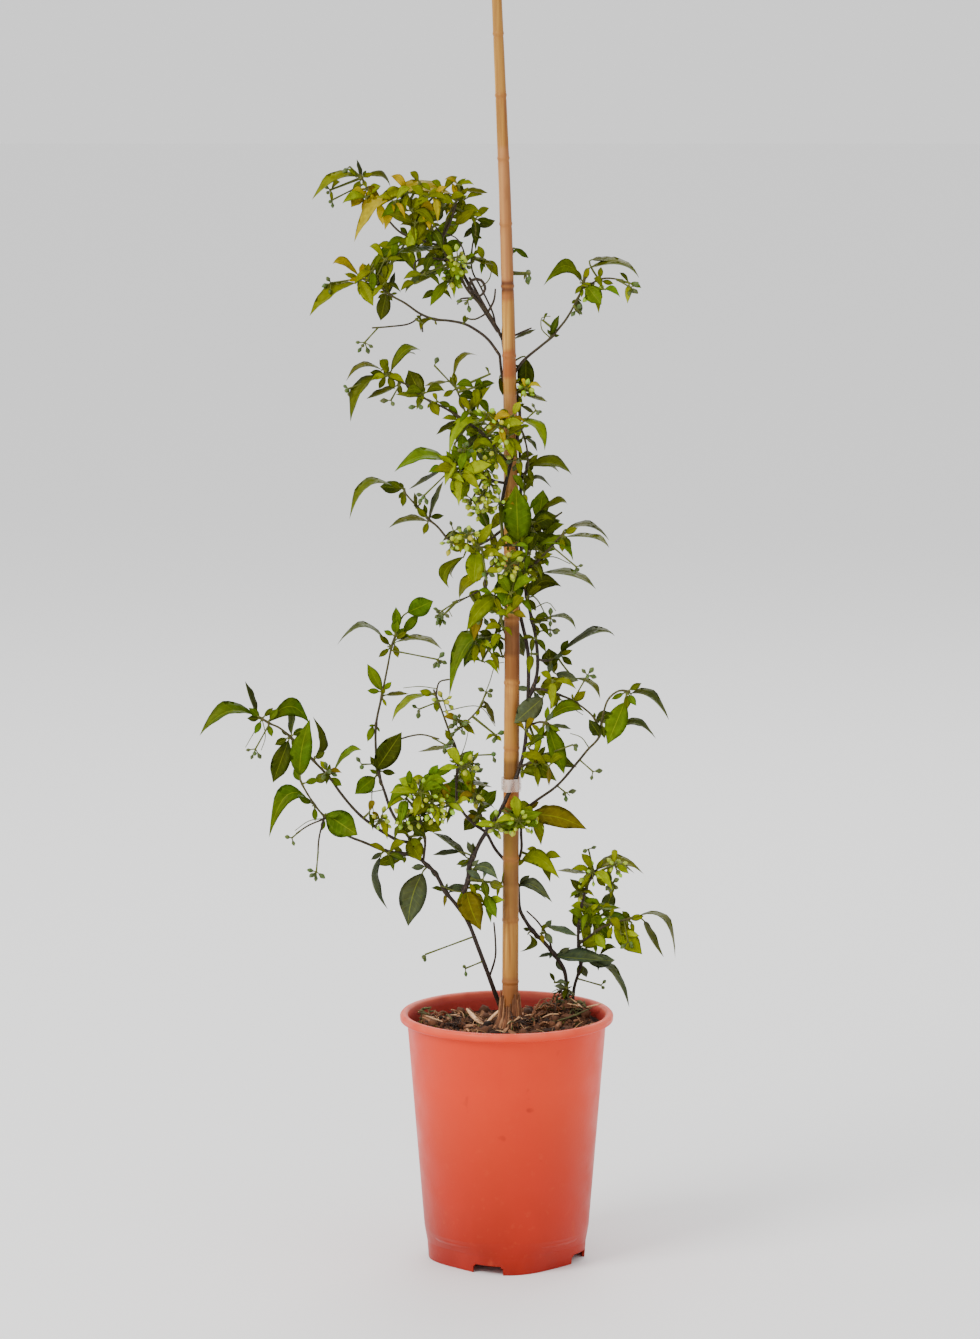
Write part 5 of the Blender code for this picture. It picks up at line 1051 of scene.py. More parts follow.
@dataclass(frozen=True)
class Bamboo:
    """Dry bamboo: long fine fibres, yellow bloom at the rings, lengths of other tones, and painted shade
    down its right side.

    Attributes:
        lengths: From and to what height in metres, the colour and its share.
        fade: How far a length fades out, in metres.
        scars: The heights of thin dark lines.
    """

    lengths: tuple = (
        (0.16, 0.2, (136, 78, 42), 0.8), (0.242, 0.3, (96, 60, 26), 0.55),
        (0.268, 0.303, (84, 54, 24), 0.45), (0.28, 0.318, (124, 88, 24), 0.75),
        (0.319, 0.333, (166, 84, 34), 0.6), (0.343, 0.355, (84, 52, 22), 0.75),
        (0.356, 0.384, (160, 110, 44), 0.5), (0.385, 0.402, (158, 104, 48), 0.6),
        (0.414, 0.456, (92, 34, 12), 0.75), (0.431, 0.45, (62, 22, 6), 0.6),
        (0.545, 0.61, (192, 134, 84), 0.5), (0.624, 0.64, (150, 66, 30), 0.75),
        (0.678, 0.69, (150, 80, 46), 0.7), (0.6835, 0.6845, (60, 22, 14), 0.85),
        (0.6875, 0.6885, (60, 22, 14), 0.8), (0.691, 0.78, (196, 136, 92), 0.5),
        (0.82, 0.92, (196, 146, 62), 0.6),
    )
    fade: float = 0.003
    scars: tuple = (0.6838, 0.6882)

    def material(self) -> Material:
        """Builds the material."""
        wood = Surface("bamboo", Specular_IOR_Level=0.4, Specular_Tint=(255, 236, 190),
                       Coat_Weight=0.04, Coat_Roughness=0.4)
        x, _, z = wood.split(wood.place)
        fibre = wood.cloud(420.0, 6.0, (1.0, 1.0, 0.035))
        cloud = wood.cloud(26.0, 4.0, (1.0, 1.0, 0.45))
        tone = wood.over((124, 72, 18), (222, 168, 76), fibre, 0.3, 0.7)
        tone = wood.over(tone, (170, 102, 42), cloud, 0.4, 0.7, 0.6)
        place = wood.math("ADD", z, wood.spread(cloud, 0.3, 0.7, (-0.002, 0.002)))
        for low, high, colour, share in self.lengths:
            rise = wood.spread(place, low - self.fade, low, (0.0, share))
            fall = wood.spread(place, high, high + self.fade, (1.0, 0.0))
            tone = wood.mix(wood.times(rise, fall), tone, colour)
        tone = wood.over(tone, (104, 56, 26), wood.cloud(170.0, 3.0, (1.0, 1.0, 0.02)), 0.5, 0.66, 0.55)
        # Painted shade: the cane's right side is darker
        right = wood.math("SUBTRACT", x, wood.spread(z, 0.43, 0.92, (0.0035, -0.0085)))
        tone = wood.over(tone, (112, 58, 28), right, 0.0, 0.005, 0.62)
        bloom = wood.times(wood.field("tone", "Fac"), wood.spread(cloud, 0.3, 0.6, (0.25, 0.6)))
        tone = wood.mix(bloom, tone, (150, 92, 44))
        for scar in self.scars:
            away = wood.math("ABSOLUTE", wood.math("SUBTRACT", z, scar))
            tone = wood.over(tone, (70, 26, 20), away, 0.0018, 0.0004, 0.6)
        tone = wood.over(tone, (128, 78, 44), wood.cloud(130.0, 5.0, (1.0, 1.0, 0.3)), 0.6, 0.72, 0.5)
        wood.drive("Base Color", tone)
        wood.drive("Roughness", wood.spread(cloud, 0.3, 0.7, (0.4, 0.6)))
        wood.raised(fibre, 0.3, 0.0004)
        return wood.material


@dataclass(frozen=True)
class ClearTape:
    """Thin clear tape, cloudy where it is creased."""

    def material(self) -> Material:
        """Builds the material."""
        tape = Surface("clear tape", Roughness=0.25, Specular_IOR_Level=0.5, Alpha=0.4, Coat_Weight=0.2)
        crease = tape.cloud(260.0, 4.0, (1.0, 1.0, 0.4))
        tape.drive("Base Color", tape.over((190, 144, 122), (244, 228, 218), crease, 0.35, 0.65))
        tape.raised(crease, 0.6, 0.0006)
        return tape.material


@dataclass(frozen=True)
class PottingMix:
    """Dark moist peat and bark, with a lighter and a darker grain."""

    def material(self) -> Material:
        """Builds the material."""
        mix = Surface("potting mix", Roughness=0.92, Specular_IOR_Level=0.2)
        coarse = mix.cloud(170.0, 6.0)
        tone = mix.over((28, 17, 12), (82, 50, 32), coarse, 0.35, 0.65)
        mix.drive("Base Color", mix.over(tone, (146, 104, 70), mix.cloud(480.0), 0.63, 0.72, 0.6))
        mix.raised(mix.math("ADD", coarse, mix.cloud(900.0)), 0.9, 0.0012)
        return mix.material


@dataclass(frozen=True)
class Scrap:
    """Loose dry stuff on the potting mix: each bit takes a shade between two colours."""

    name: str
    dark: tuple
    pale: tuple
    stretch: tuple | None = None

    def material(self) -> Material:
        """Builds the material."""
        bit = Surface(self.name, Roughness=0.85, Specular_IOR_Level=0.25)
        grain = bit.cloud(380.0, 5.0, self.stretch)
        tone = bit.mix(bit.field("tint", "Fac"), self.dark, self.pale)
        bit.drive("Base Color", bit.scaled(tone, bit.spread(grain, 0.3, 0.7, (0.6, 1.2))))
        bit.raised(grain, 0.7, 0.0006)
        return bit.material


def smooth(points: list[Vector], step: float) -> list[Vector]:
    """Draws a Catmull-Rom curve.

    Args:
        points: The points that it passes through.
        step: About how far apart its own points are.

    Returns:
        The curve's points.
    """
    ends = [points[0] * 2 - points[1]] + points + [points[-1] * 2 - points[-2]]
    made = []
    for a, b, c, d in zip(ends, ends[1:], ends[2:], ends[3:]):
        pieces = max(1, round((c - b).length / step))
        for i in range(pieces):
            t = i / pieces
            made.append(0.5 * (2 * b + (c - a) * t + (2 * a - 5 * b + 4 * c - d) * t ** 2
                               + (3 * b - a - 3 * c + d) * t ** 3))
    return made + [points[-1]]


class Place(NamedTuple):
    """A point of a stem's middle line, with the stem's radius and direction there."""

    point: Vector
    radius: float
    way: Vector
    last: bool


def places(points: list[Vector], radii: tuple[float, float]) -> list[Place]:
    """Finds the places along a line.

    Args:
        points: The line.
        radii: Its radii at foot and tip.

    Returns:
        The place at each point.
    """
    made = []
    for i, point in enumerate(points):
        t = i / (len(points) - 1)
        way = (points[min(i + 1, len(points) - 1)] - points[max(i - 1, 0)]).normalized()
        made.append(Place(point, radii[0] + (radii[1] - radii[0]) * t, way, i == len(points) - 1))
    return made


def between(line: list[Place], steps: int = 6) -> Iterator[Place]:
    """Every place of a line with more filled in between them."""
    for a, b in zip(line, line[1:]):
        for i in range(steps):
            t = i / steps
            radius = a.radius + (b.radius - a.radius) * t
            yield Place(a.point.lerp(b.point, t), radius, b.point - a.point, False)
    yield line[-1]


def nearest(lines: list[list[Place]], point: Vector) -> Place:
    """The place on several lines that is nearest to a point."""
    return min((place for line in lines for place in between(line)), key=lambda p: (p.point - point).length)


def root_of(lines: list[list[Place]], spot: Vector) -> Place:
    """The place that a leaf or spray grows from: the nearest as seen from EYE, clear of the stems' ends."""
    inner = [place for line in lines for place in list(between(line))[3:-2]]
    return min(inner, key=lambda place: (on_screen(place.point) - spot).length)


def seated(points: list[Vector], radius: float, root: Place) -> list[Vector]:
    """Starts a route GAP off the surface of the stem that it grows from, as the solids do.

    Args:
        points: The route.
        radius: Its radius at its foot.
        root: The place on the stem.

    Returns:
        The route with its first point moved.
    """
    way = (points[1] - root.point).normalized()
    slope = min(1.0, abs(way.dot(root.way.normalized())))
    across = sqrt(1.0 - slope * slope)
    if root.last and slope > END_SLOPE:
        reach = GAP + radius * across
    else:
        reach = (root.radius + GAP + radius * slope) / max(across, LEAST_ACROSS)
    return [root.point + way * reach] + points[1:]


def bends() -> Iterator[float]:
    """How much further towards the eye, or away, the solids' leaves were tried, nearest first."""
    yield 0.0
    for i in range(1, BEND_TRIES):
        yield i * BEND_STEP
        yield -i * BEND_STEP


def partner(leaf: tuple, share: float) -> tuple:
    """A shorter leaf that grows to the back from the same spot, hidden by the first."""
    foot = leaf[3:5]
    shrunk = [foot[i % 2] + (value - foot[i % 2]) * share for i, value in enumerate(leaf[3:])]
    return (leaf[0], leaf[1] * share, leaf[2], *shrunk)


@dataclass
class Solid:
    """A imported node's corners, to find out how each leaf was bent there.

    Attributes:
        node: The node's name.
        within: How near a corner must lie to count as a tip, in millimetres.
    """

    node: str
    within: float = 1.9

    def __post_init__(self) -> None:
        """Sorts the node's corners for look-up."""
        obj = frame["nodes"][self.node]
        self.tree = kdtree.KDTree(len(obj.data.vertices))
        for i, vertex in enumerate(obj.data.vertices):
            self.tree.insert(obj.matrix_world @ vertex.co / MM, i)
        self.tree.balance()

    def bend(self, tip: object) -> float:
        """The bend whose tip stands in the solid, or none.

        Args:
            tip: Gives the tip for a bend.

        Returns:
            The bend in millimetres.
        """
        best = min(bends(), key=lambda bend: self.tree.find(tip(bend))[2])
        return best if self.tree.find(tip(best))[2] < self.within else 0.0


@dataclass
class Blade:
    """One leaf's middle line and the way it faces.

    Attributes:
        leaf: Its row of the table.
        root: Where it grows from.
        near: How far its tip comes towards the eye.
        index: Its number on the stem.
    """

    leaf: tuple
    root: Vector
    near: float
    index: int

    def at(self, t: float) -> Vector:
        """A point of the middle line, from foot to tip."""
        spots = [Vector(self.leaf[i:i + 2]) for i in range(3, len(self.leaf), 2)]
        if len(spots) == 2:
            spots.insert(1, (spots[0] + spots[1]) / 2)
        pull = 2.0 * spots[1] - 0.5 * (spots[0] + spots[2])
        flat = bow(spots[0], pull, spots[2], t)
        return seen(flat.x, flat.y, self.root.y - (FOOT_BEND + t) * self.near)

    def frame(self) -> tuple[float, Vector, Vector, Vector]:
        """The blade's real width, and its directions along, across and up."""
        foot, tip = self.at(0.0), self.at(1.0)
        real = max(self.leaf[1], LEAF_RATIO * (on_screen(tip) - on_screen(foot)).length)
        turn = acos(min(1.0, self.leaf[1] / real))
        way = (tip - foot).normalized()
        sight = (foot - EYE).normalized()
        side = way.cross(sight).normalized()
        front = side.cross(way).normalized()
        if front.dot(sight) > 0:
            front.negate()
        flat = abs(side.z) < LEVEL_SIDE and self.index % 2
        lift = 1.0 if flat else copysign(1.0, side.z if abs(side.z) > TINY else 1.0)
        across = side * cos(turn) - front * (lift * sin(turn))
        return real, way, across, front * cos(turn) + side * (lift * sin(turn))


@dataclass
class Spray:
    """A spray of buds: its peduncle's end, and where each bud points.

    Attributes:
        row: Its row of the table.
        root: Where it grows from.
        near: How far its heart comes towards the eye.
        index: Its number on the stem.
    """

    row: tuple
    root: Vector
    near: float
    index: int

    # The first buds: where round the peduncle in sixths of a turn, which one points straight on, and how
    # far the others point out and on or back. Then the shortest stalk, and how buds hang.
    SIXTHS = (1, 3, 5, 0, 2, 4, 0)
    AHEAD = 3
    OUT, ON = 0.943, 0.333
    STALK = 2.0
    DROOP = Vector((0.0, 0.0, -0.25))

    def __post_init__(self) -> None:
        """Finds the heart and the directions round it."""
        x, z, _, self.spread, self.buds = self.row
        self.heart = seen(x, z, self.root.y - self.near)
        self.way = (self.heart - self.root).normalized()
        self.side = self.way.cross(Vector((0.3, 0.2, 1.0))).normalized()
        self.up = self.way.cross(self.side)

    def flat(self, turn: float) -> Vector:
        """A direction across the peduncle."""
        return self.side * cos(turn) + self.up * sin(turn)

    def aim(self, i: int) -> Vector:
        """The direction of a bud."""
        if i >= len(self.SIXTHS):
            rise = sin(i * 1.7) * 0.7
            way = self.flat(i * SPIRAL + self.index) * sqrt(1 - rise * rise) + self.way * (rise + 0.2)
        elif i == self.AHEAD:
            way = self.way
        else:
            on = self.ON if i < self.AHEAD else -self.ON
            way = self.flat(self.index + self.SIXTHS[i] * pi / 3) * self.OUT + self.way * on
        return (way.normalized() + self.DROOP).normalized()

    def neck(self, i: int) -> Vector:
        """Where a bud sits on its stalk."""
        reach = self.spread * (0.75 + 0.25 * sin(3.1 * i + self.index)) - BUD_L / 2
        return self.heart + self.aim(i) * max(self.STALK, reach)


class Host:
    """The points that one leafy stem grows from, with what each becomes."""

    FIELDS = ("tone", "foot", "pull", "tip", "across", "up", "shape", "aim")

    def __init__(self) -> None:
        """Starts with no points."""
        self.points, self.edges, self.kinds, self.thick = [], [], [], []
        self.rows = {name: [] for name in self.FIELDS}

    def point(self, kind: Kind, place: Vector, thick: float, **vectors: object) -> None:
        """Adds a point.

        Args:
            kind: What it becomes.
            place: Where it is, in millimetres.
            thick: A line's radius there, or a bud's length, in millimetres.
            vectors: Its other marks.
        """
        self.points.append(place)
        self.kinds.append(kind.value)
        self.thick.append(thick * MM)
        for name, values in self.rows.items():
            values += tuple(vectors.get(name, (0.0, 0.0, 0.0)))

    def line(self, points: list[Vector], radii: list[float], tones: list[tuple]) -> None:
        """Adds a line of points that becomes a tube.

        Args:
            points: The line, in millimetres.
            radii: The tube's radius at each point.
            tones: Its tone at each point.
        """
        start = len(self.points)
        for place, radius, tone in zip(points, radii, tones):
            self.point(Kind.LINE, place, radius, tone=tone)
        self.edges += [(i, i + 1) for i in range(start, len(self.points) - 1)]

    def made(self, name: str) -> Object:
        """The host as an object."""
        host = shape(name, self.points, [], self.edges)
        marked(host, "kind", "INT", self.kinds)
        marked(host, "thick", "FLOAT", self.thick)
        for label, values in self.rows.items():
            marked(host, label, "FLOAT_VECTOR", values)
        return host


@dataclass(frozen=True)
class Growing:
    """The node tree that turns a host's points into tubes, leaf blades and buds."""

    ripple: float = 0.10
    waves: float = 15.0

    def tree(self) -> GeometryTree:
        """Builds the tree."""
        tree = GeometryTree("growing", Blade="Object", Bud="Object", Sides="Int",
                            Bark="Material", Leaf="Material", Flower="Material")
        host, blade, bud, sides, bark, leaf, flower = tree.given
        kind, thick = tree.field("kind", "INT"), tree.field("thick", "FLOAT")

        def of_kind(wanted: Kind) -> NodeSocket:
            """The host's points of one kind."""
            chosen = tree.out("FunctionNodeCompare", {2: kind, 3: wanted.value}, data_type="INT",
                              operation="EQUAL")
            return tree.out("GeometryNodeSeparateGeometry", {0: host, 1: chosen})

        ring = tree.out("GeometryNodeCurvePrimitiveCircle", {"Resolution": sides, "Radius": 1.0})
        curve = tree.out("GeometryNodeMeshToCurve", {0: of_kind(Kind.LINE)})
        tube = tree.out("GeometryNodeCurveToMesh", {"Curve": curve, "Profile Curve": ring, "Scale": thick,
                                                    "Fill Caps": True})
        blades = tree.out("GeometryNodeRealizeInstances", {0: tree.set_out(of_kind(Kind.LEAF), blade)})
        blades = tree.out("GeometryNodeSetPosition", {0: blades, "Position": self.bent(tree)})
        turn = tree.out("FunctionNodeAlignRotationToVector", {"Vector": tree.field("aim")}, axis="Z")
        buds = tree.set_out(of_kind(Kind.BUD), bud, Rotation=turn, Scale=thick)
        tree.ended(tree.dressed(tube, bark), tree.dressed(blades, leaf), tree.dressed(buds, flower))
        return tree

    def bent(self, tree: GeometryTree) -> NodeSocket:
        """Where each point of a blade goes: along its leaf's line, out across it, folded and rippled."""
        u, t, _ = tree.split(tree.field("blade"))
        out, fold, skin = tree.split(tree.field("form"))
        half, folding, phase = tree.split(tree.field("shape"))
        rest = tree.math("SUBTRACT", 1.0, t)
        line = tree.plus(tree.scaled(tree.field("foot"), tree.times(rest, rest)),
                         tree.scaled(tree.field("pull"), tree.times(t, rest, 2.0)),
                         tree.scaled(tree.field("tip"), tree.times(t, t)))
        wave = tree.math("SINE", tree.math("ADD", tree.times(t, self.waves), phase))
        wave = tree.times(wave, self.ripple, tree.times(u, out))
        rise = tree.times(tree.math("ADD", tree.times(fold, folding), wave), half)
        return tree.plus(line, tree.scaled(tree.field("across"), tree.times(out, half)),
                         tree.scaled(tree.field("up"), tree.math("ADD", rise, skin)))


@dataclass(frozen=True)
class BladeUnit:
    """The blade that every leaf is bent from, with its place on the leaf stored at each point."""

    across: int = 4
    along: int = 10
    skin: float = 0.22
    keel: float = 0.45

    def width(self, t: float) -> float:
        """The share of the half width at a place from foot to tip."""
        body = sin(pi * t ** 0.93) ** 0.8 if 0 < t < 1 else 0.0
        return max(body * (1.0 - 0.45 * max(0.0, (t - 0.72) / 0.28)), 0.04 if t < 0.5 else 0.0)

    def build(self) -> Object:
        """Builds the closed unit blade."""
        points, faces, blades, forms, found = [], [], [], [], {}

        def corner(i: int, j: int, side: int) -> int:
            """The number of a point, the same on both sides at the rim."""
            rim = i in (0, self.across) or j in (0, self.along)
            key = (i, j, 0 if rim else side)
            if key not in found:
                u, t = 2.0 * i / self.across - 1.0, j / self.along
                wide, bulge = self.width(t), (1.0 - u * u) * sin(pi * t) ** 0.5
                down = self.skin * bulge + self.keel * exp(-(u / 0.12) ** 2) * (1.0 - 0.6 * t)
                found[key] = len(points)
                points.append((u * 0.3, t, 0.05 * side * bulge))
                blades.append((u, t, float(side)))
                off = 0.0 if rim else self.skin * bulge * 0.5 if side > 0 else -down
                forms.append((u * wide, wide * (abs(u) - 0.4), off * MM))
            return found[key]

        for side in (1, -1):
            for i in range(self.across):
                for j in range(self.along):
                    square = [(i, j), (i + 1, j), (i + 1, j + 1), (i, j + 1)][::side]
                    faces.append([corner(a, b, side) for a, b in square])
        unit = shape("blade unit", points, faces)
        for label, values in (("blade", blades), ("form", forms)):
            marked(unit, label, "FLOAT_VECTOR", [part for row in values for part in row])
        return unit


@dataclass(frozen=True)
class BudUnit:
    """A closed bud of unit length that stands on the origin."""

    sides: int = 7
    outline: tuple = (
        (0.0, 0.0), (0.14, 0.03), (0.21, 0.2), (0.24, 0.27), (0.33, 0.42), (0.31, 0.6), (0.16, 0.86),
        (0.0, 1.0),
    )

    def build(self) -> Object:
        """Builds the bud."""
        points, faces = lathe(self.outline, self.sides)
        unit = tidied(shape("bud unit", [Vector(p) / MM for p in points], faces), 180.0)
        marks = [part for v in unit.data.vertices for part in (0.0, v.co.z, 1.0)]
        marked(unit, "blade", "FLOAT_VECTOR", marks)
        return unit


@dataclass
class LeafyStem:
    """One stem or shoot with its side twigs, leaves and sprays of buds.

    Attributes:
        name: Its node's name.
        stem: Its rows of the table.
        lines: The solids' middle lines of the stem and its twigs.
        parent: The point on its parent that it starts from, if it has one.
    """

    name: str
    stem: Stem
    lines: list
    parent: Vector | None

    old: tuple = (38, 26, 20)
    young: tuple = (46, 34, 20)
    tender: tuple = (66, 62, 14)
    stalk: tuple = (78, 84, 14)
    closed: tuple = (60, 74, 14)
    open: tuple = (130, 146, 16)
    many: int = 6
    swell: float = 0.45
    swell_reach: float = 2.4
    uneven: float = 0.09
    plump: float = 1.18
    # Painted shade on leaves narrower than edge_width, seen edge-on, and on leaves hidden behind others
    edge_width: float = 5.0
    edge_shade: float = 0.55
    hidden_leaf_shade: float = 0.8
    pair_light: float = 1.1
    young_light: float = 1.3
    shades: tuple = (0.82, 1.2)
    warmths: tuple = (0.9, 1.12)
    folds: tuple = (0.25, 0.6)
    phases: tuple = (0.0, 6.0)
    leans: tuple = (-1.0, 0.9)
    pair_most: float = 12.0
    pair_reach: tuple = (0.3, 0.5)
    pair_width: tuple = (0.3, 0.45)
    tuft_reach: tuple = (0.9, 1.5)
    tuft_width: tuple = (0.28, 0.5)
    peduncle: tuple = (0.7, 0.55, 0.7)
    pedicel: tuple = (0.5, 0.38, 0.4)
    bud_sizes: tuple = (0.75, 1.2)
    bud_shades: tuple = (0.8, 1.2)

    def __post_init__(self) -> None:
        """Sets up the draws, the solid to look leaves up in and the empty host."""
        self.draw = random.Random(len(self.name) * 7 + len(self.stem.leaves))
        self.solid = Solid(self.name)
        self.host = Host()
        self.roots = []

    @property
    def woody(self) -> bool:
        """Whether this is an old twining stem and not a side shoot."""
        return self.name.startswith("stem")

    def build(self, tree: GeometryTree, given: dict) -> Object:
        """Grows the stem.

        Args:
            tree: The growing tree.
            given: The tree's unit objects and materials.

        Returns:
            The grown piece.
        """
        self.leaves()
        self.sprays()
        self.tufts()
        self.threads()
        self.stems()
        host = self.host.made(self.name + "_grown")
        piece = tree.run(host, {**given, "Sides": 10 if self.woody else 8})
        return kept(piece, "stem" if self.woody else "shoot", self.name)

    def leaves(self) -> None:
        """Adds every leaf, with the partner that some have behind them."""
        draw = random.Random(BEHIND_SEED + len(self.name))
        for index, leaf in enumerate(self.stem.leaves):
            root = root_of(self.lines, Vector(leaf[3:5])).point
            # Narrow leaves, seen edge-on, take painted shade
            self.leaf(leaf, root, leaf[2], index, self.edge_shade if leaf[1] < self.edge_width else 1.0)
            self.pair(leaf, root, index)
            if leaf[1] >= BEHIND_WIDTH and "back" not in self.name and draw.random() < BEHIND_SHARE:
                behind = partner(leaf, draw.uniform(*BEHIND_SIZE))
                # The hidden partner takes painted shade
                self.leaf(behind, root, leaf[2] - draw.uniform(*BEHIND_BEND), index, self.hidden_leaf_shade)

    def leaf(self, leaf: tuple, root: Vector, near: float, index: int, light: float) -> None:
        """Adds a leaf on its petiole.

        Args:
            leaf: Its row of the table.
            root: Where it grows from.
            near: How far its tip comes towards the eye.
            index: Its number on the stem.
            light: How light it is beside its tone; below 1 it is painted shade on an edge-on or hidden
                leaf.
        """
        near += self.solid.bend(lambda bend: Blade(leaf, root, near + bend, index).at(1.0))
        self.grown(Blade(leaf, root, near, index), light)

    def grown(self, blade: Blade, light: float) -> None:
        """Adds a blade and its petiole.

        Args:
            blade: The leaf's line.
            light: How light it is beside its tone; below 1 it is painted shade on an edge-on or hidden
                leaf.
        """
        leaf, root = blade.leaf, blade.root
        real, way, across, up = blade.frame()
        foot, middle, tip = blade.at(0.0), blade.at(0.5), blade.at(1.0)
        shade = light * self.draw.uniform(*self.shades)
        warm = self.draw.uniform(*self.warmths)
        tone = [c * shade * w for c, w in zip(linear(Tone[leaf[0]].value), (warm, 1.0, 1.0))]
        shape_of = (real / 2 * MM, self.draw.uniform(*self.folds), self.draw.uniform(*self.phases))
        self.host.point(Kind.LEAF, foot, 1.0, tone=tone, foot=foot * MM, tip=tip * MM, across=across, up=up,
                        pull=(middle * 2 - (foot + tip) / 2) * MM, shape=shape_of)
        self.stalk_to(foot, way, root, PETIOLE_R)
        self.roots.append(root)

    def stalk_to(self, end: Vector, way: Vector, root: Vector, radius: float) -> None:
        """Adds a petiole or other short stalk.

        Args:
            end: Where it ends.
            way: The direction in which it ends.
            root: Where it grows from.
            radius: Its radius.
        """
        line = self.curve(root, end, way)
        radii = [radius * (1.3 - 0.5 * i / (len(line) - 1)) for i in range(len(line))]
        self.host.line(line, radii, [linear(self.stalk)] * len(line))

    def pair(self, leaf: tuple, root: Vector, index: int) -> None:
        """Adds the two young leaves in the angle between a leaf and its stem.

        Args:
            leaf: The leaf's row of the table.
            root: Where it grows from.
            index: Its number on the stem.
        """
        spot = on_screen(root)
        reach = Vector(leaf[-2:]) - spot
        for lean in self.leans:
            way = reach.normalized()
            way.rotate(Matrix.Rotation(lean + self.draw.uniform(-0.3, 0.3), 2))
            way *= min(self.pair_most, reach.length * self.draw.uniform(*self.pair_reach))
            width = way.length * self.draw.uniform(*self.pair_width)
            row = (leaf[0], width, 0, *(spot + way * 0.2), *(spot + way))
            self.grown(Blade(row, root, self.draw.uniform(-4.0, 5.0), index), self.pair_light)

    def curve(self, start: Vector, end: Vector, way: Vector) -> list[Vector]:
        """A stalk's bent line, which runs on a little into what it carries."""
        pull = end - way * (0.35 * (end - start).length)
        return [bow(start, pull, end, i / 4) for i in range(5)] + [end + way]

    def sprays(self) -> None:
        """Adds every spray of buds."""
        for index, row in enumerate(self.stem.sprays):
            root = root_of(self.lines, Vector(row[:2])).point

            def bud_tip(bend: float) -> Vector:
                """The first bud's tip at a bend."""
                tried = Spray(row, root, row[2] + bend, index)
                return tried.neck(0) + tried.aim(0) * BUD_L

            self.flowers(Spray(row, root, row[2] + self.solid.bend(bud_tip), index))

    def flowers(self, spray: Spray) -> None:
        """Adds a spray's stalks and buds."""
        green, colour = linear(self.stalk), linear(self.open if spray.buds >= self.many else self.closed)
        middle = spray.root.lerp(spray.heart, 0.5)
        self.host.line([spray.root, middle, spray.heart], self.peduncle, [green] * 3)
        for i in range(spray.buds):
            neck, aim = spray.neck(i), spray.aim(i)
            self.host.line([spray.heart, neck, neck + aim * 0.4], self.pedicel, [green] * 3)
            size = BUD_L * self.plump * self.draw.uniform(*self.bud_sizes)
            tone = [c * self.draw.uniform(*self.bud_shades) for c in colour]
            self.host.point(Kind.BUD, neck, size, aim=aim, tone=tone)

    def tufts(self) -> None:
        """Adds the small leaves and buds that thicken the shoot."""
        for number, (x, z, reach, tones, *buds) in enumerate(TUFTS.get(self.name, [])):
            root = root_of(self.lines, Vector((x, z))).point
            near = self.draw.uniform(-3.0, 9.0)
            heart = seen(x, z, root.y - near)
            self.stalk_to(heart, (heart - root + UP * 0.1).normalized(), root, TWIG_R)
            for i, tone in enumerate(tones):
                turn = SPIRAL * (i + number) + self.draw.uniform(-0.4, 0.4)
                length = reach * self.draw.uniform(*self.tuft_reach)
                way = Vector((cos(turn), sin(turn))) * length
                foot = Vector((x, z)) + way * 0.1
                arch = Vector((0.0, length * self.draw.uniform(0.04, 0.2)))
                middle, tip = foot + way * 0.5 + arch, foot + way - arch
                row = (tone, length * self.draw.uniform(*self.tuft_width), 0, *foot, *middle, *tip)
                self.grown(Blade(row, heart, length * self.draw.uniform(-0.4, 0.7), i), self.young_light)
            if buds:
                self.flowers(Spray((x, z, 0, reach * 0.9, *buds), root, near, number))

    def threads(self) -> None:
        """Adds the bare stalks and tendrils."""
        for radius, *spots in THREADS.get(self.name, []):
            root = root_of(self.lines, Vector(spots[:2])).point
            points = [seen(x, z, root.y - 0.6 * i) for i, (x, z) in enumerate(zip(spots[::2], spots[1::2]))]
            line = smooth([root] + points[1:], FINE_STEP)
            tone = linear(self.young if radius > PETIOLE_R else self.stalk)
            radii = [radius * (1.0 - 0.4 * i / len(line)) for i in range(len(line))]
            self.host.line(line, radii, [tone] * len(line))

    def stems(self) -> None:
        """Adds the stem and its twigs, thicker where leaves grow from them."""
        points = [seen(*p) for p in self.stem.route]
        if self.parent:
            points[0] = self.parent
        routes = [(smooth(points, FINE_STEP), self.stem.radii)]
        for twig, line in zip(self.stem.twigs, self.lines[1:]):
            root = [line[0].point] + [seen(*p) for p in twig[1:]]
            routes.append((smooth(root, FINE_STEP), (min(TWIG_R, self.stem.radii[1]), PETIOLE_R)))
        for points, radii in routes:
            thick, tones = [], []
            for i, point in enumerate(points):
                t = i / (len(points) - 1)
                near = min(((point - root).length for root in self.roots), default=inf)
                wobble = 1.0 + self.uneven * noise.noise(point * 0.35)
                knot = 1.0 + self.swell * exp(-(near / self.swell_reach) ** 2)
                thick.append((radii[0] + (radii[1] - radii[0]) * t) * wobble * knot)
                tones.append(self.bark(t, point))
            self.host.line(points, thick, tones)

    def bark(self, t: float, point: Vector) -> list[float]:
        """The bark's tone along the stem: dark wood, or a shoot that turns green towards its tip."""
        ends = (self.old, self.young) if self.woody else (self.young, self.tender)
        t = min(1.0, max(0.0, t * t + 0.25 * noise.noise(point * 0.05)))
        return [a + (b - a) * t for a, b in zip(linear(ends[0]), linear(ends[1]))]


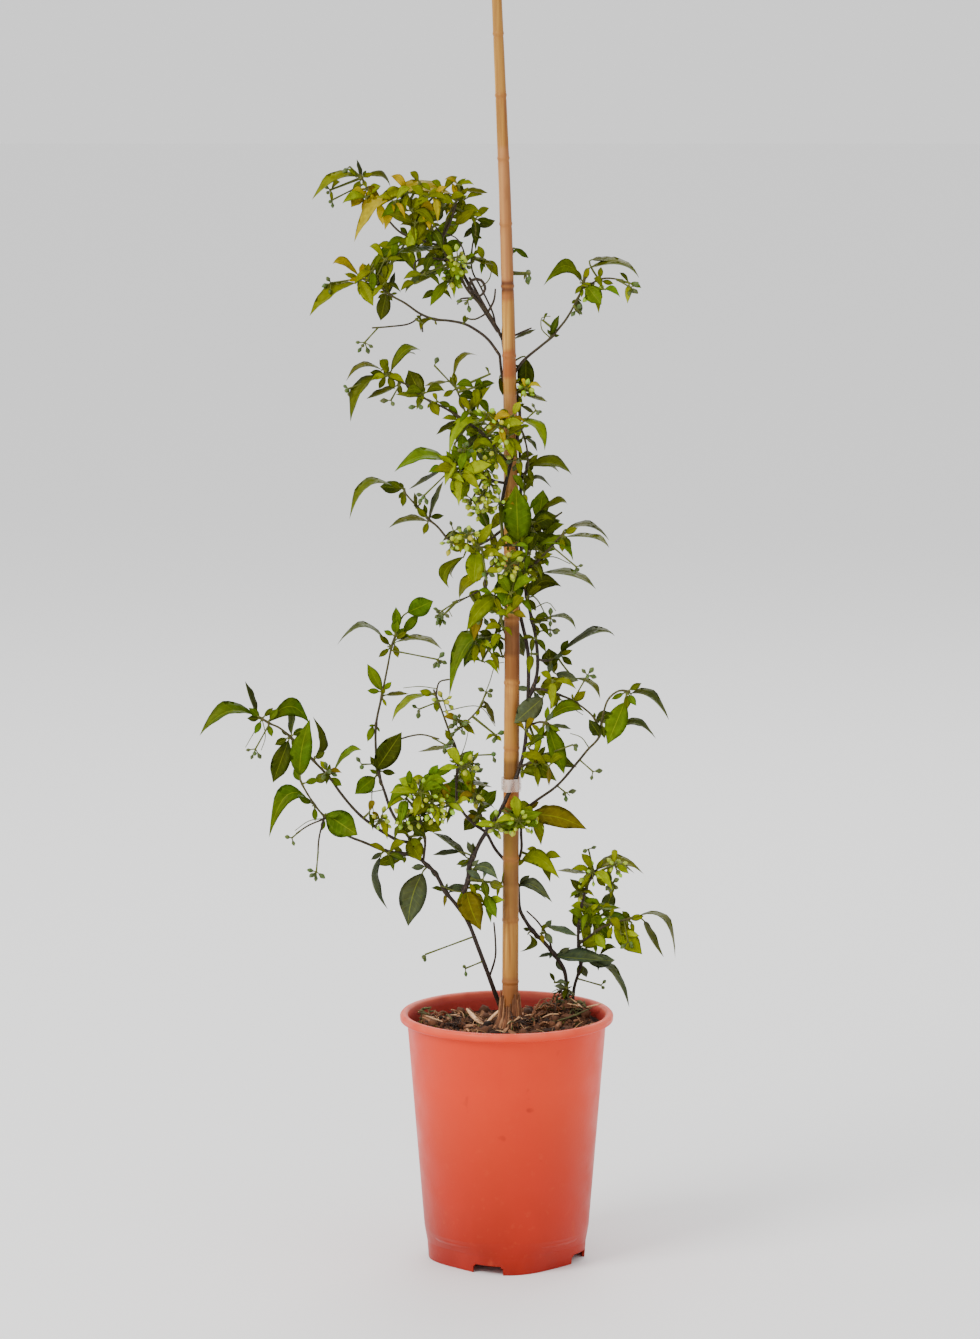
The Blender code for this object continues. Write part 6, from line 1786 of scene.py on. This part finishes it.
@dataclass(frozen=True)
class Plant:
    """The whole plant: the routes of its stems and every stem that grows from them."""

    table: dict

    def lines(self) -> tuple[dict[str, list], dict[str, Vector | None]]:
        """The solids' middle lines of each stem, and where each starts on its parent."""
        routes, starts = {}, {}
        for name, stem in self.table.items():
            points = [seen(*p) for p in stem.route]
            starts[name] = None
            if stem.parent != "soil":
                root = nearest(routes[stem.parent], points[0])
                starts[name] = root.point
                points = seated(points, stem.radii[0], root)
            step = STEM_STEP if name.startswith("stem") else SHOOT_STEP
            lines = [places(smooth(points, step), stem.radii)]
            for twig in stem.twigs:
                root = root_of(lines, Vector(twig[0][:2])).point
                points = smooth([root] + [seen(*p) for p in twig[1:]], SHOOT_STEP)
                lines.append(places(points, (min(TWIG_R, stem.radii[1]), PETIOLE_R)))
            routes[name] = lines
        return routes, starts

    def build(self, tree: GeometryTree, given: dict) -> dict[str, list]:
        """Grows every stem.

        Args:
            tree: The growing tree.
            given: The tree's unit objects and materials.

        Returns:
            The stems' middle lines, by name.
        """
        routes, starts = self.lines()
        for name, stem in self.table.items():
            LeafyStem(name, stem, routes[name], starts[name]).build(tree, given)
        return routes


@dataclass(frozen=True)
class Pot:
    """The turned pot: a lipped rim, thin tapering wall and a squared foot with notches and drain holes.

    Attributes:
        sides: How many pieces the turn has.
    """

    rim_r: float = 75.0
    rim_z: float = 176.0
    lip_h: float = 6.0
    top_r: float = 69.75
    low_r: float = 57.5
    foot_r: float = 56.0
    foot_z: float = 17.0
    body_z: float = 18.5
    wall: float = 1.5
    floor_z: float = 7.5
    pad_r: float = 19.5
    pad_wall: float = 1.8
    square: float = 0.107
    notch_turn: float = -104.5
    notch: tuple = (18.0, 22.5, 13.0)
    drain_r: float = 4.5
    drain_ring: float = 36.0
    notch_ring: float = 52.0
    soften: float = 5.0
    corner_r: float = 0.7
    notch_round: float = 1.5
    sides: int = 128

    def radius(self, z: float) -> float:
        """The outer radius at a height above the foot band."""
        full = self.rim_z - self.lip_h - self.body_z
        return self.low_r + (self.top_r - self.low_r) * (z - self.body_z) / full

    def profile(self) -> list[tuple[float, float]]:
        """The wall's outline, from the middle of the floor over the rim and back below."""
        foot_r, foot_z, pad_r, rim_r = self.foot_r, self.foot_z, self.pad_r, self.rim_r
        top, lip_low, wall, under = self.rim_z, self.rim_z - self.lip_h, self.wall, self.floor_z - 1.6
        inner, low_in, low_out = self.radius(top) - wall, self.body_z + 1.2, self.body_z + self.soften
        return [
            (0, self.pad_wall), (pad_r, self.pad_wall), (pad_r + 3, self.floor_z),
            (foot_r - 3.2, self.floor_z), (foot_r - 1.7, foot_z), (self.radius(low_in) - wall, low_in),
            (self.radius(lip_low) - wall, lip_low), (inner + 0.6, top - 1.2), (inner + 2.2, top),
            (rim_r - 1.6, top), (rim_r - 0.1, top - 1.8), (rim_r - 0.3, lip_low + 1.0),
            (rim_r - 1.6, lip_low), (self.radius(lip_low), lip_low - 0.4), (self.radius(low_out), low_out),
            (foot_r - 0.1, foot_z - self.soften), (foot_r - 1.0, 0), (foot_r - 2.8, 0),
            (foot_r - 2.6, under), (pad_r + 4.5, under), (pad_r + 1.5, 0), (0, 0),
        ]

    def squared(self, point: tuple[float, float, float]) -> tuple[float, float, float]:
        """Draws a point of the foot in to the rounded square."""
        x, y, z = point
        r = hypot(x, y)
        if z > self.foot_z + GAP + 0.05 or r < self.pad_r + 4.0:
            return point
        share = min(1.0, (r - self.pad_r - 4.0) / (self.low_r - 8.0 - self.pad_r - 4.0))
        draw = 1.0 - self.square * share * (1.0 - cos(4.0 * atan2(y, x))) / 2.0
        return x * draw, y * draw, z

    def build(self) -> Object:
        """Builds and dresses the pot."""
        points, faces = lathe(rounded(self.profile(), self.corner_r), self.sides)
        pot = tidied(shape("pot_moulded", [self.squared(p) for p in points], faces))
        tools = [self.cutter(i) for i in range(4)] + [self.drain(i) for i in range(4)]
        pot = tidied(cut(pot, *tools), 30.0)
        pot.data.materials.append(PotPlastic().material(self.rim_z * MM))
        return kept(pot, "pot", "pot")

    def cutter(self, i: int) -> Object:
        """The block that cuts a notch out of the foot."""
        turn = radians(self.notch_turn + 90.0 * i)
        work = bmesh.new()
        size = Matrix.Diagonal((*[side * MM for side in self.notch], 1.0))
        place = Matrix.Translation(level(turn) * self.notch_ring * MM)
        bmesh.ops.create_cube(work, size=1.0, matrix=place @ Matrix.Rotation(turn, 4, "Z") @ size)
        bmesh.ops.bevel(work, geom=work.edges, offset=self.notch_round * MM, segments=3, affect="EDGES")
        return written("notch", work)

    def drain(self, i: int) -> Object:
        """The pin that bores a drain hole."""
        turn = radians(self.notch_turn + 90.0 * i + 45.0)
        middle = level(turn) * self.drain_ring
        points, faces = lathe([(0, 3), (self.drain_r, 3), (self.drain_r, 10), (0, 10)], 32)
        return tidied(shape("drain", [Vector(p) + middle for p in points], faces))


@dataclass(frozen=True)
class Litter:
    """Loose bits thrown over a surface by a node tree, each from one unit shape.

    Attributes:
        name: The piece's name.
        finish: The bits' finish.
        unit: The unit shape.
        count: How many bits per square metre.
        size: The smallest and largest scale of a bit.
        tilt: How far bits may lean, in radians.
        lift: How far a bit's middle stands off the surface, in metres.
        seed: The seed of the throw.
    """

    name: str
    finish: Scrap
    unit: object
    count: float
    size: tuple[float, float]
    tilt: float
    lift: float
    seed: int

    @staticmethod
    def tree() -> GeometryTree:
        """Builds the throwing tree, which every kind of litter shares."""
        tree = GeometryTree("litter", Unit="Object", Count="Float", Low="Float", High="Float",
                            Tilt="Float", Lift="Float", Seed="Int", Finish="Material")
        ground, unit, count, low, high, tilt, lift, seed, finish = tree.given
        thrown = {"Mesh": ground, "Density": count, "Seed": seed}
        spot, normal = tree.add("GeometryNodeDistributePointsOnFaces", thrown).outputs[:2]
        spot = tree.out("GeometryNodeSetPosition", {0: spot, "Offset": tree.scaled(normal, lift)})
        tint = tree.add("FunctionNodeRandomValue", {"Seed": seed}, data_type="FLOAT").outputs[1]
        spot = tree.out("GeometryNodeStoreNamedAttribute", {0: spot, "Name": "tint", "Value": tint},
                        data_type="FLOAT")
        lean = tree.times(tilt, -1.0)
        most = tree.out("ShaderNodeCombineXYZ", {0: tilt, 1: tilt, 2: 2 * pi})
        least = tree.out("ShaderNodeCombineXYZ", {0: lean, 1: lean, 2: 0.0})
        turn = tree.out("FunctionNodeRandomValue", {0: least, 1: most, "Seed": tree.math("ADD", seed, 5)},
                        data_type="FLOAT_VECTOR")
        size = tree.add("FunctionNodeRandomValue", {2: low, 3: high, "Seed": tree.math("ADD", seed, 9)},
                        data_type="FLOAT").outputs[1]
        tree.ended(tree.dressed(tree.set_out(spot, unit, Scale=size, Rotation=turn), finish))
        return tree

    def build(self, tree: GeometryTree, ground: Object) -> Object:
        """Throws the bits.

        Args:
            tree: The throwing tree.
            ground: The surface they lie on, which is kept.

        Returns:
            The finished piece.
        """
        host = placed(self.name, ground.data.copy())
        unit = self.unit()
        values = {"Unit": unit, "Count": self.count, "Low": self.size[0], "High": self.size[1],
                  "Tilt": self.tilt, "Lift": self.lift, "Seed": self.seed, "Finish": self.finish.material()}
        piece = tree.run(host, values)
        removed(unit)
        return kept(piece, "soil", "soil")


def crumb() -> Object:
    """A knobbly crumb, one millimetre across."""
    work = bmesh.new()
    bmesh.ops.create_icosphere(work, subdivisions=1, radius=0.5)
    points = [v.co * (1.0 + 0.35 * noise.noise(v.co * 3.0)) for v in work.verts]
    faces = [tuple(v.index for v in face.verts) for face in work.faces]
    work.free()
    return shape("crumb", points, faces)


def bark_chip() -> Object:
    """A flat splinter of bark, one millimetre long."""
    outline = ((-0.5, -0.1), (-0.42, 0.13), (-0.1, 0.19), (0.2, 0.14), (0.5, 0.06), (0.44, -0.12),
               (0.05, -0.2))
    points = [(x, y, z + 0.04 * sin(6 * x)) for z in (-0.05, 0.05) for x, y in outline]
    n = len(outline)
    faces = [tuple(range(n))[::-1], tuple(range(n, 2 * n))]
    faces += [(i, (i + 1) % n, n + (i + 1) % n, n + i) for i in range(n)]
    return tidied(shape("bark chip", points, faces), 30.0)


def straw() -> Object:
    """A bent stalk of straw, one millimetre long."""
    line = [Vector((x, 0.12 * sin(2.4 * x + 0.4), 0.10 * cos(3.0 * x)))
            for x in (-0.5, -0.2, 0.1, 0.35, 0.5)]
    points, faces = [], []
    for k, middle in enumerate(line):
        points += [middle + Vector((0, cos(t), sin(t))) * 0.022 for t in (0.5, 2.6, 4.7)]
        if k:
            base = 3 * k
            faces += [(base - 3 + i, base - 3 + j, base + j, base + i) for i, j in ((0, 1), (1, 2), (2, 0))]
    faces += [(2, 1, 0), (len(points) - 3, len(points) - 2, len(points) - 1)]
    return tidied(shape("straw", points, faces), 80.0)


def moss() -> Object:
    """A tuft of moss: a few small pointed leaves, one millimetre high."""
    points, faces = [], []
    for k in range(7):
        turn, lean = k * SPIRAL, 0.25 + 0.1 * (k % 3)
        out = level(turn)
        side = Vector((-out.y, out.x, 0.0))
        base = len(points)
        tip = out * lean * 2 + UP * (1.0 - 0.12 * (k % 3))
        points += [out * 0.05 - side * 0.12, out * 0.05 + side * 0.12, out * 0.2, tip]
        faces += [(base, base + 2, base + 1), (base, base + 1, base + 3), (base + 1, base + 2, base + 3),
                  (base + 2, base, base + 3)]
    return tidied(shape("moss", points, faces), 60.0)


@dataclass(frozen=True)
class Soil:
    """The potting mix: a mounded body with chips in it, and the litter on top."""

    pot: Pot
    level: float = 162.5
    mounds: tuple = (
        (40.0, 26.0, 24.0, 13.0), (2.0, 4.0, 11.0, 6.0), (-52.0, 8.0, 16.0, 5.0), (22.0, -30.0, 22.0, 2.5),
    )
    chips: int = 13
    seed: int = 11
    rings: int = 46
    sides: int = 128
    clear: float = 6.0
    edge: float = 0.95
    edge_rise: float = 4.0
    grain: float = 0.8

    @property
    def side(self) -> float:
        """The mix's radius at its top."""
        return self.pot.radius(self.level) - self.pot.wall - GAP

    def height(self, x: float, y: float) -> float:
        """The height of the mix over a point, as in the solid."""
        height = self.level + 0.9 * sin(0.21 * x + 1.0) * cos(0.17 * y) + 0.6 * sin(0.4 * x + 0.35 * y)
        for mx, my, reach, rise in self.mounds:
            height += rise * exp(-((x - mx) ** 2 + (y - my) ** 2) / reach ** 2)
        return height

    def rough(self, x: float, y: float) -> float:
        """The height with the mix's own coarse grain."""
        height = self.height(x, y)
        if hypot(x, y) > self.edge * self.side:
            height = min(height, self.level + self.edge_rise)
        coarse = noise.noise(Vector((x * 0.25, y * 0.25, 3.0)))
        return height + self.grain * (coarse + 0.6 * noise.noise(Vector((x * 0.7, y * 0.7, 9.0))))

    def build(self) -> Object:
        """Builds the body and its litter."""
        tops = [(self.side * (1 - i / self.rings), self.level) for i in range(self.rings + 1)][::-1]
        pot, gap = self.pot, GAP
        low = [
            (pot.radius(pot.body_z + 1.9) - pot.wall - gap, pot.body_z + 1.9),
            (pot.foot_r - 1.9 - gap, pot.foot_z + gap),
            (pot.foot_r - 3.2 - gap, pot.floor_z + gap), (pot.pad_r + 3 - gap, pot.floor_z + gap),
            (pot.pad_r - gap, pot.pad_wall + gap), (0, pot.pad_wall + gap),
        ]
        points, faces = lathe(tops + low, self.sides)
        points = [(x, y, self.rough(x, y)) if z > self.level - 1.0 else pot.squared((x, y, z))
                  for x, y, z in points]
        body = tidied(shape("potting_mix", points, faces), 60.0)
        ground = self.ground()
        body.data.materials.append(PottingMix().material())
        kept(body, "soil", "soil")
        self.large_chips()
        tree = Litter.tree()
        brown = Scrap("crumbs", (30, 18, 12), (112, 70, 46))
        pale = Scrap("bark chips", (84, 50, 32), (196, 142, 104), (0.25, 1.0, 1.0))
        dry = Scrap("straws", (120, 78, 48), (206, 164, 120), (0.2, 1.0, 1.0))
        green = Scrap("moss", (48, 54, 16), (104, 104, 34))
        Litter("loose_crumbs", brown, crumb, 170000.0, (1.0, 4.2), 1.5, 0.0004, 3).build(tree, ground)
        Litter("soil_clods", brown, crumb, 7000.0, (4.5, 9.0), 1.5, 0.0016, 31).build(tree, ground)
        Litter("bark_chips", pale, bark_chip, 5200.0, (3.5, 11.0), 0.9, 0.0016, 7).build(tree, ground)
        Litter("dry_straws", dry, straw, 6500.0, (6.0, 17.0), 0.8, 0.0026, 12).build(tree, ground)
        Litter("moss_tufts", green, moss, 7000.0, (1.6, 3.6), 0.5, 0.0004, 19).build(tree, ground)
        removed(ground)
        return body

    def ground(self) -> Object:
        """The open top surface that litter is thrown on, clear of the pot's wall."""
        reach = [(self.side - self.clear) * i / 20 for i in range(1, 21)]
        points, faces = lathe([(0, 0)] + [(r, 0) for r in reach], 48)
        ground = shape("ground", [(x, y, self.rough(x, y)) for x, y, _ in points], faces)
        if ground.data.polygons[0].normal.z < 0:
            ground.data.flip_normals()
        return ground

    def large_chips(self) -> None:
        """The larger chips that the solid has too."""
        draw = random.Random(self.seed)
        work = bmesh.new()
        for _ in range(self.chips):
            turn = draw.uniform(0, 2 * pi)
            out = self.side * sqrt(draw.uniform(0.03, 0.68))
            x, y = out * cos(turn), out * sin(turn)
            size = Vector((draw.uniform(7, 16), draw.uniform(2.2, 4.5), draw.uniform(1.6, 2.6))) * MM
            angles = (draw.uniform(-0.4, 0.4), draw.uniform(-0.55, 0.55), draw.uniform(0, pi))
            middle = Vector((x, y, self.height(x, y) + draw.uniform(-0.4, 0.8))) * MM
            turned = Matrix.LocRotScale(middle, None, None) @ Euler(angles).to_matrix().to_4x4()
            bmesh.ops.create_cube(work, size=1.0, matrix=turned @ Matrix.Diagonal((*size, 1.0)))
        bmesh.ops.bevel(work, geom=work.edges, offset=0.4 * MM, segments=2, affect="EDGES")
        bmesh.ops.subdivide_edges(work, edges=work.edges, cuts=1, use_grid_fill=True)
        for vertex in work.verts:
            vertex.co += Vector(noise.noise_vector(vertex.co * 350.0)) * 0.35 * MM
        # A bevel lists what it makes in any order, so that it differs from run to run until it is sorted
        work.verts.sort(key=lambda vertex: vertex.co.dot(SORTING))
        work.faces.sort(key=lambda face: face.calc_center_median().dot(SORTING))
        chips = tidied(written("large_chips", work), 50.0)
        tints = [0.5 + 0.5 * noise.noise(v.co * 60.0) for v in chips.data.vertices]
        marked(chips, "tint", "FLOAT", tints)
        finish = Scrap("large chip bark", (92, 54, 34), (196, 142, 106), (0.25, 1.0, 1.0))
        chips.data.materials.append(finish.material())
        kept(chips, "soil", "soil")


@dataclass(frozen=True)
class Stalks:
    """Stalks and splinters that lie or stand on the potting mix, and the fibres at the cane's foot."""

    fibres: int = 56
    seed: int = 23

    def build(self, tree: GeometryTree, given: dict) -> Object:
        """Lays the stalks.

        Args:
            tree: The growing tree.
            given: The tree's unit objects and materials.

        Returns:
            The piece that holds them all.
        """
        draw = random.Random(self.seed)
        host = Host()
        for radius, tone, *spots in STALKS:
            self.laid(host, [seen(*spot) for spot in spots], radius, tone, draw)
        for x, z, y, reach, tone, count in CLUMPS:
            for _ in range(count):
                way = Vector([draw.uniform(-1, 1), draw.uniform(-1, 1), draw.uniform(-0.3, 0.6)]) * reach
                middle = seen(x, z, y) + Vector([draw.uniform(-0.5, 0.5) * reach for _ in range(3)])
                arch = UP * draw.uniform(0.0, 0.2) * reach
                points = [middle - way * 0.5, middle + arch, middle + way * 0.5]
                self.laid(host, points, draw.uniform(0.3, 0.8),
                          tone if draw.random() < 0.7 else draw.randrange(4), draw)
        foot_x, foot_r = along_cane(CANE_RINGS[0])
        axis = Vector((foot_x, 0.0, 0.0))
        for i in range(self.fibres):
            heights = ((6.0, 165.0), (2.6, 171.0), (0.9, draw.uniform(174.0, 192.0)))
            points = [axis + level(SPIRAL * i) * (foot_r + out) + UP * z for out, z in heights]
            self.laid(host, points, draw.uniform(0.6, 1.1), draw.choice((4, 1, 1)), draw)
        piece = tree.run(host.made("laid_stalks"), {**given, "Sides": 6})
        return kept(piece, "soil", "soil")

    def laid(self, host: Host, points: list[Vector], radius: float, tone: int, draw: random.Random) -> None:
        """Adds one stalk, thinner at its ends.

        Args:
            host: The points that it joins.
            points: Its course.
            radius: Its largest radius.
            tone: Which of the stalks' tones it has.
            draw: The random draws.
        """
        line = smooth(points, FINE_STEP)
        shade = draw.uniform(0.6, 1.25)
        colour = [c * shade for c in linear(STALK_TONES[tone])]
        radii = [radius * (0.45 + 0.55 * sin(pi * i / (len(line) - 1))) for i in range(len(line))]
        host.line(line, radii, [colour] * len(line))


@dataclass(frozen=True)
class Cane:
    """The bamboo cane, with a raised double line at each ring and an open pith.

    Attributes:
        lines: Where points are drawn about a ring.
        ridge: The ridge's place above a ring, and its width.
        groove: The groove's place above a ring, its width and its depth beside the ridge.
    """

    lines: tuple = (-2.2, -1.6, -0.9, -0.3, 0.3, 0.8, 1.4, 2.4)
    step: float = 4.0
    proud: float = 0.38
    ridge: tuple = (0.8, 1.0)
    groove: tuple = (-1.4, 0.7, 0.45)
    uneven: float = 0.12
    bloom: float = 3.0
    pith_r: float = 1.3
    pith_deep: float = 8.0
    sides: int = 36

    def build(self, tree: GeometryTree, given: dict) -> Object:
        """Draws the cane through its rings.

        Args:
            tree: The growing tree.
            given: The tree's unit objects and materials.

        Returns:
            The cane.
        """
        bottom, top = CANE_LINE[0][0], CANE_LINE[-1][0]
        count = round((top - bottom) / self.step)
        heights = {bottom + (top - bottom) * i / count for i in range(count + 1)}
        heights |= {ring + off for ring in CANE_RINGS for off in self.lines}
        (up, wide), (down, narrow, deep) = self.ridge, self.groove
        points, radii, marks = [], [], []
        for z in sorted(heights):
            x, r = along_cane(z)
            ring = min(CANE_RINGS, key=lambda h: abs(h - z))
            raised = exp(-((z - ring - up) / wide) ** 2) - deep * exp(-((z - ring - down) / narrow) ** 2)
            wobble = self.uneven * noise.noise(Vector((0.0, 0.0, z * 0.05)))
            points.append(Vector((x, 0.0, z)))
            radii.append(r + self.proud * raised + wobble)
            near = exp(-((z - ring) / self.bloom) ** 2)
            marks.append((near, near, near))
        host = Host()
        host.line(points, radii, marks)
        given = {**given, "Sides": self.sides, "Bark": Bamboo().material()}
        cane = tidied(tree.run(host.made("cane_drawn"), given), 50.0)
        low, high, axis = top - self.pith_deep, top + 2, Vector((CANE_LINE[-1][1], 0, 0))
        bore, faces = lathe([(0, low), (self.pith_r, low), (self.pith_r, high), (0, high)], 20)
        pith = tidied(shape("pith", [Vector(p) + axis for p in bore], faces))
        return kept(cut(cane, pith), "cane", "cane")


@dataclass(frozen=True)
class Tape:
    """The band of clear tape round the cane and the stem beside it."""

    low: float = 334.0
    high: float = 343.0
    thick: float = 0.7
    sides: int = 72
    rows: int = 6
    wave: float = 0.35
    crease: float = 0.12

    def outline(self, grow: float, lines: list[list[Place]]) -> list[Vector]:
        """The band's outline, grown by a thickness.

        Args:
            grow: The thickness.
            lines: The middle lines of the stem beside the cane.

        Returns:
            The outline's points, at height 0.
        """
        x, r = along_cane((self.low + self.high) / 2)
        rounds = [(Vector((x, 0, 0)), r + 0.55 + GAP + grow)]
        for place in between(lines[0]):
            if self.low - 2 < place.point.z < self.high + 2:
                rounds.append((Vector((place.point.x, place.point.y, 0)), place.radius + 2 * GAP + grow))
        made = []
        for i in range(self.sides):
            way = level(2 * pi * i / self.sides)
            centre, reach = max(rounds, key=lambda c: c[0].dot(way) + c[1])
            made.append(centre + way * reach)
        return made

    def build(self, lines: list[list[Place]]) -> Object:
        """Builds the wrinkled band.

        Args:
            lines: The middle lines of the stem beside the cane.

        Returns:
            The band.
        """
        outer, inner = self.outline(self.thick, lines), self.outline(0.0, lines)
        levels = [self.low + (self.high - self.low) * i / self.rows for i in range(self.rows + 1)]
        points, faces = [], []
        for z in levels:
            for p in outer:
                creased = Vector(noise.noise_vector(p * 0.5 + UP * z)) * self.crease
                points.append(p + UP * (z + self.wave * noise.noise(p * 0.6)) + creased)
        for z in reversed(levels):
            points += [p + UP * (z + self.wave * noise.noise(p * 0.6)) for p in inner]
        rows = len(points) // self.sides
        for row in range(rows):
            for i in range(self.sides):
                j = (i + 1) % self.sides
                a, b = row * self.sides, (row + 1) % rows * self.sides
                faces.append((a + i, a + j, b + j, b + i))
        band = tidied(shape("tape_band", points, faces), 50.0)
        band.data.materials.append(ClearTape().material())
        return kept(band, "tie", "tie")


@dataclass(frozen=True)
class Studio:
    """A plain pale floor, soft light from the upper left, and the camera at the photograph's angle."""

    place: tuple = (-0.0117, -4.0, 1.0448)
    pitch: float = 0.155204
    lens: float = 156.66
    floor: float = 12.0
    floor_tone: float = 0.94
    sky: float = 1.15
    lamps: tuple = (
        ("key", (-1.9, -1.7, 2.4), 1.4, 88.0, (1.0, 0.985, 0.96)),
        ("fill", (2.2, -1.6, 1.5), 2.0, 5.0, (0.97, 0.98, 1.0)),
        ("back", (0.4, 2.0, 2.2), 1.6, 30.0, (1.0, 1.0, 1.0)),
    )

    def build(self) -> None:
        """Builds the floor, the lights and the camera."""
        mesh = bpy.data.meshes.new("floor")
        size = self.floor
        corners = [(-size, -size, 0), (size, -size, 0), (size, size, 0), (-size, size, 0)]
        mesh.from_pydata(corners, [], [(0, 1, 2, 3)])
        floor = placed("floor", mesh)
        paint = Surface("pale floor", Base_Color=(*[self.floor_tone] * 3, 1.0), Roughness=0.8)
        mesh.materials.append(paint.material)
        world = bpy.data.worlds.new("studio")
        world.use_nodes = True
        glow = world.node_tree.nodes["Background"].inputs
        glow["Color"].default_value, glow["Strength"].default_value = (1.0, 1.0, 1.0, 1.0), self.sky
        bpy.context.scene.world = world
        for lamp in self.lamps:
            self.light(*lamp)
        data = bpy.data.cameras.new("camera")
        data.lens, data.sensor_width, data.sensor_fit = self.lens, 36.0, "AUTO"
        camera = bpy.data.objects.new("camera", data)
        camera.location = self.place
        camera.rotation_euler = (pi / 2 - self.pitch, 0.0, 0.0)
        bpy.context.scene.collection.objects.link(camera)
        bpy.context.scene.camera = camera

    def light(self, name: str, place: tuple, size: float, power: float, colour: tuple) -> None:
        """Adds a soft square light that faces the plant.

        Args:
            name: Its name.
            place: Where it hangs, in metres.
            size: The length of its side.
            power: Its power in watts.
            colour: Its colour.
        """
        data = bpy.data.lights.new(name, "AREA")
        data.size, data.energy, data.color = size, power, colour
        lamp = bpy.data.objects.new(name, data)
        lamp.location = place
        lamp.rotation_euler = (Vector((0.0, 0.0, 0.42)) - Vector(place)).to_track_quat("-Z", "Y").to_euler()
        bpy.context.scene.collection.objects.link(lamp)


def main() -> None:
    """Builds every sub-assembly in order."""
    logging.basicConfig(level=logging.INFO, format="%(message)s")
    noise.seed_set(NOISE_SEED)
    pot = Pot()
    pot.build()
    Soil(pot).build()
    tree, units = Growing().tree(), {"Blade": BladeUnit().build(), "Bud": BudUnit().build()}
    given = {**units, "Bark": Bark().material(), "Leaf": LeafSkin().material(),
             "Flower": BudSkin().material()}
    routes = Plant(PLANT).build(tree, given)
    Stalks().build(tree, given)
    Cane().build(tree, given)
    removed(*units.values())
    Tape().build(routes["stem_twiner"])
    Studio().build()


if __name__ == "__main__":
    main()
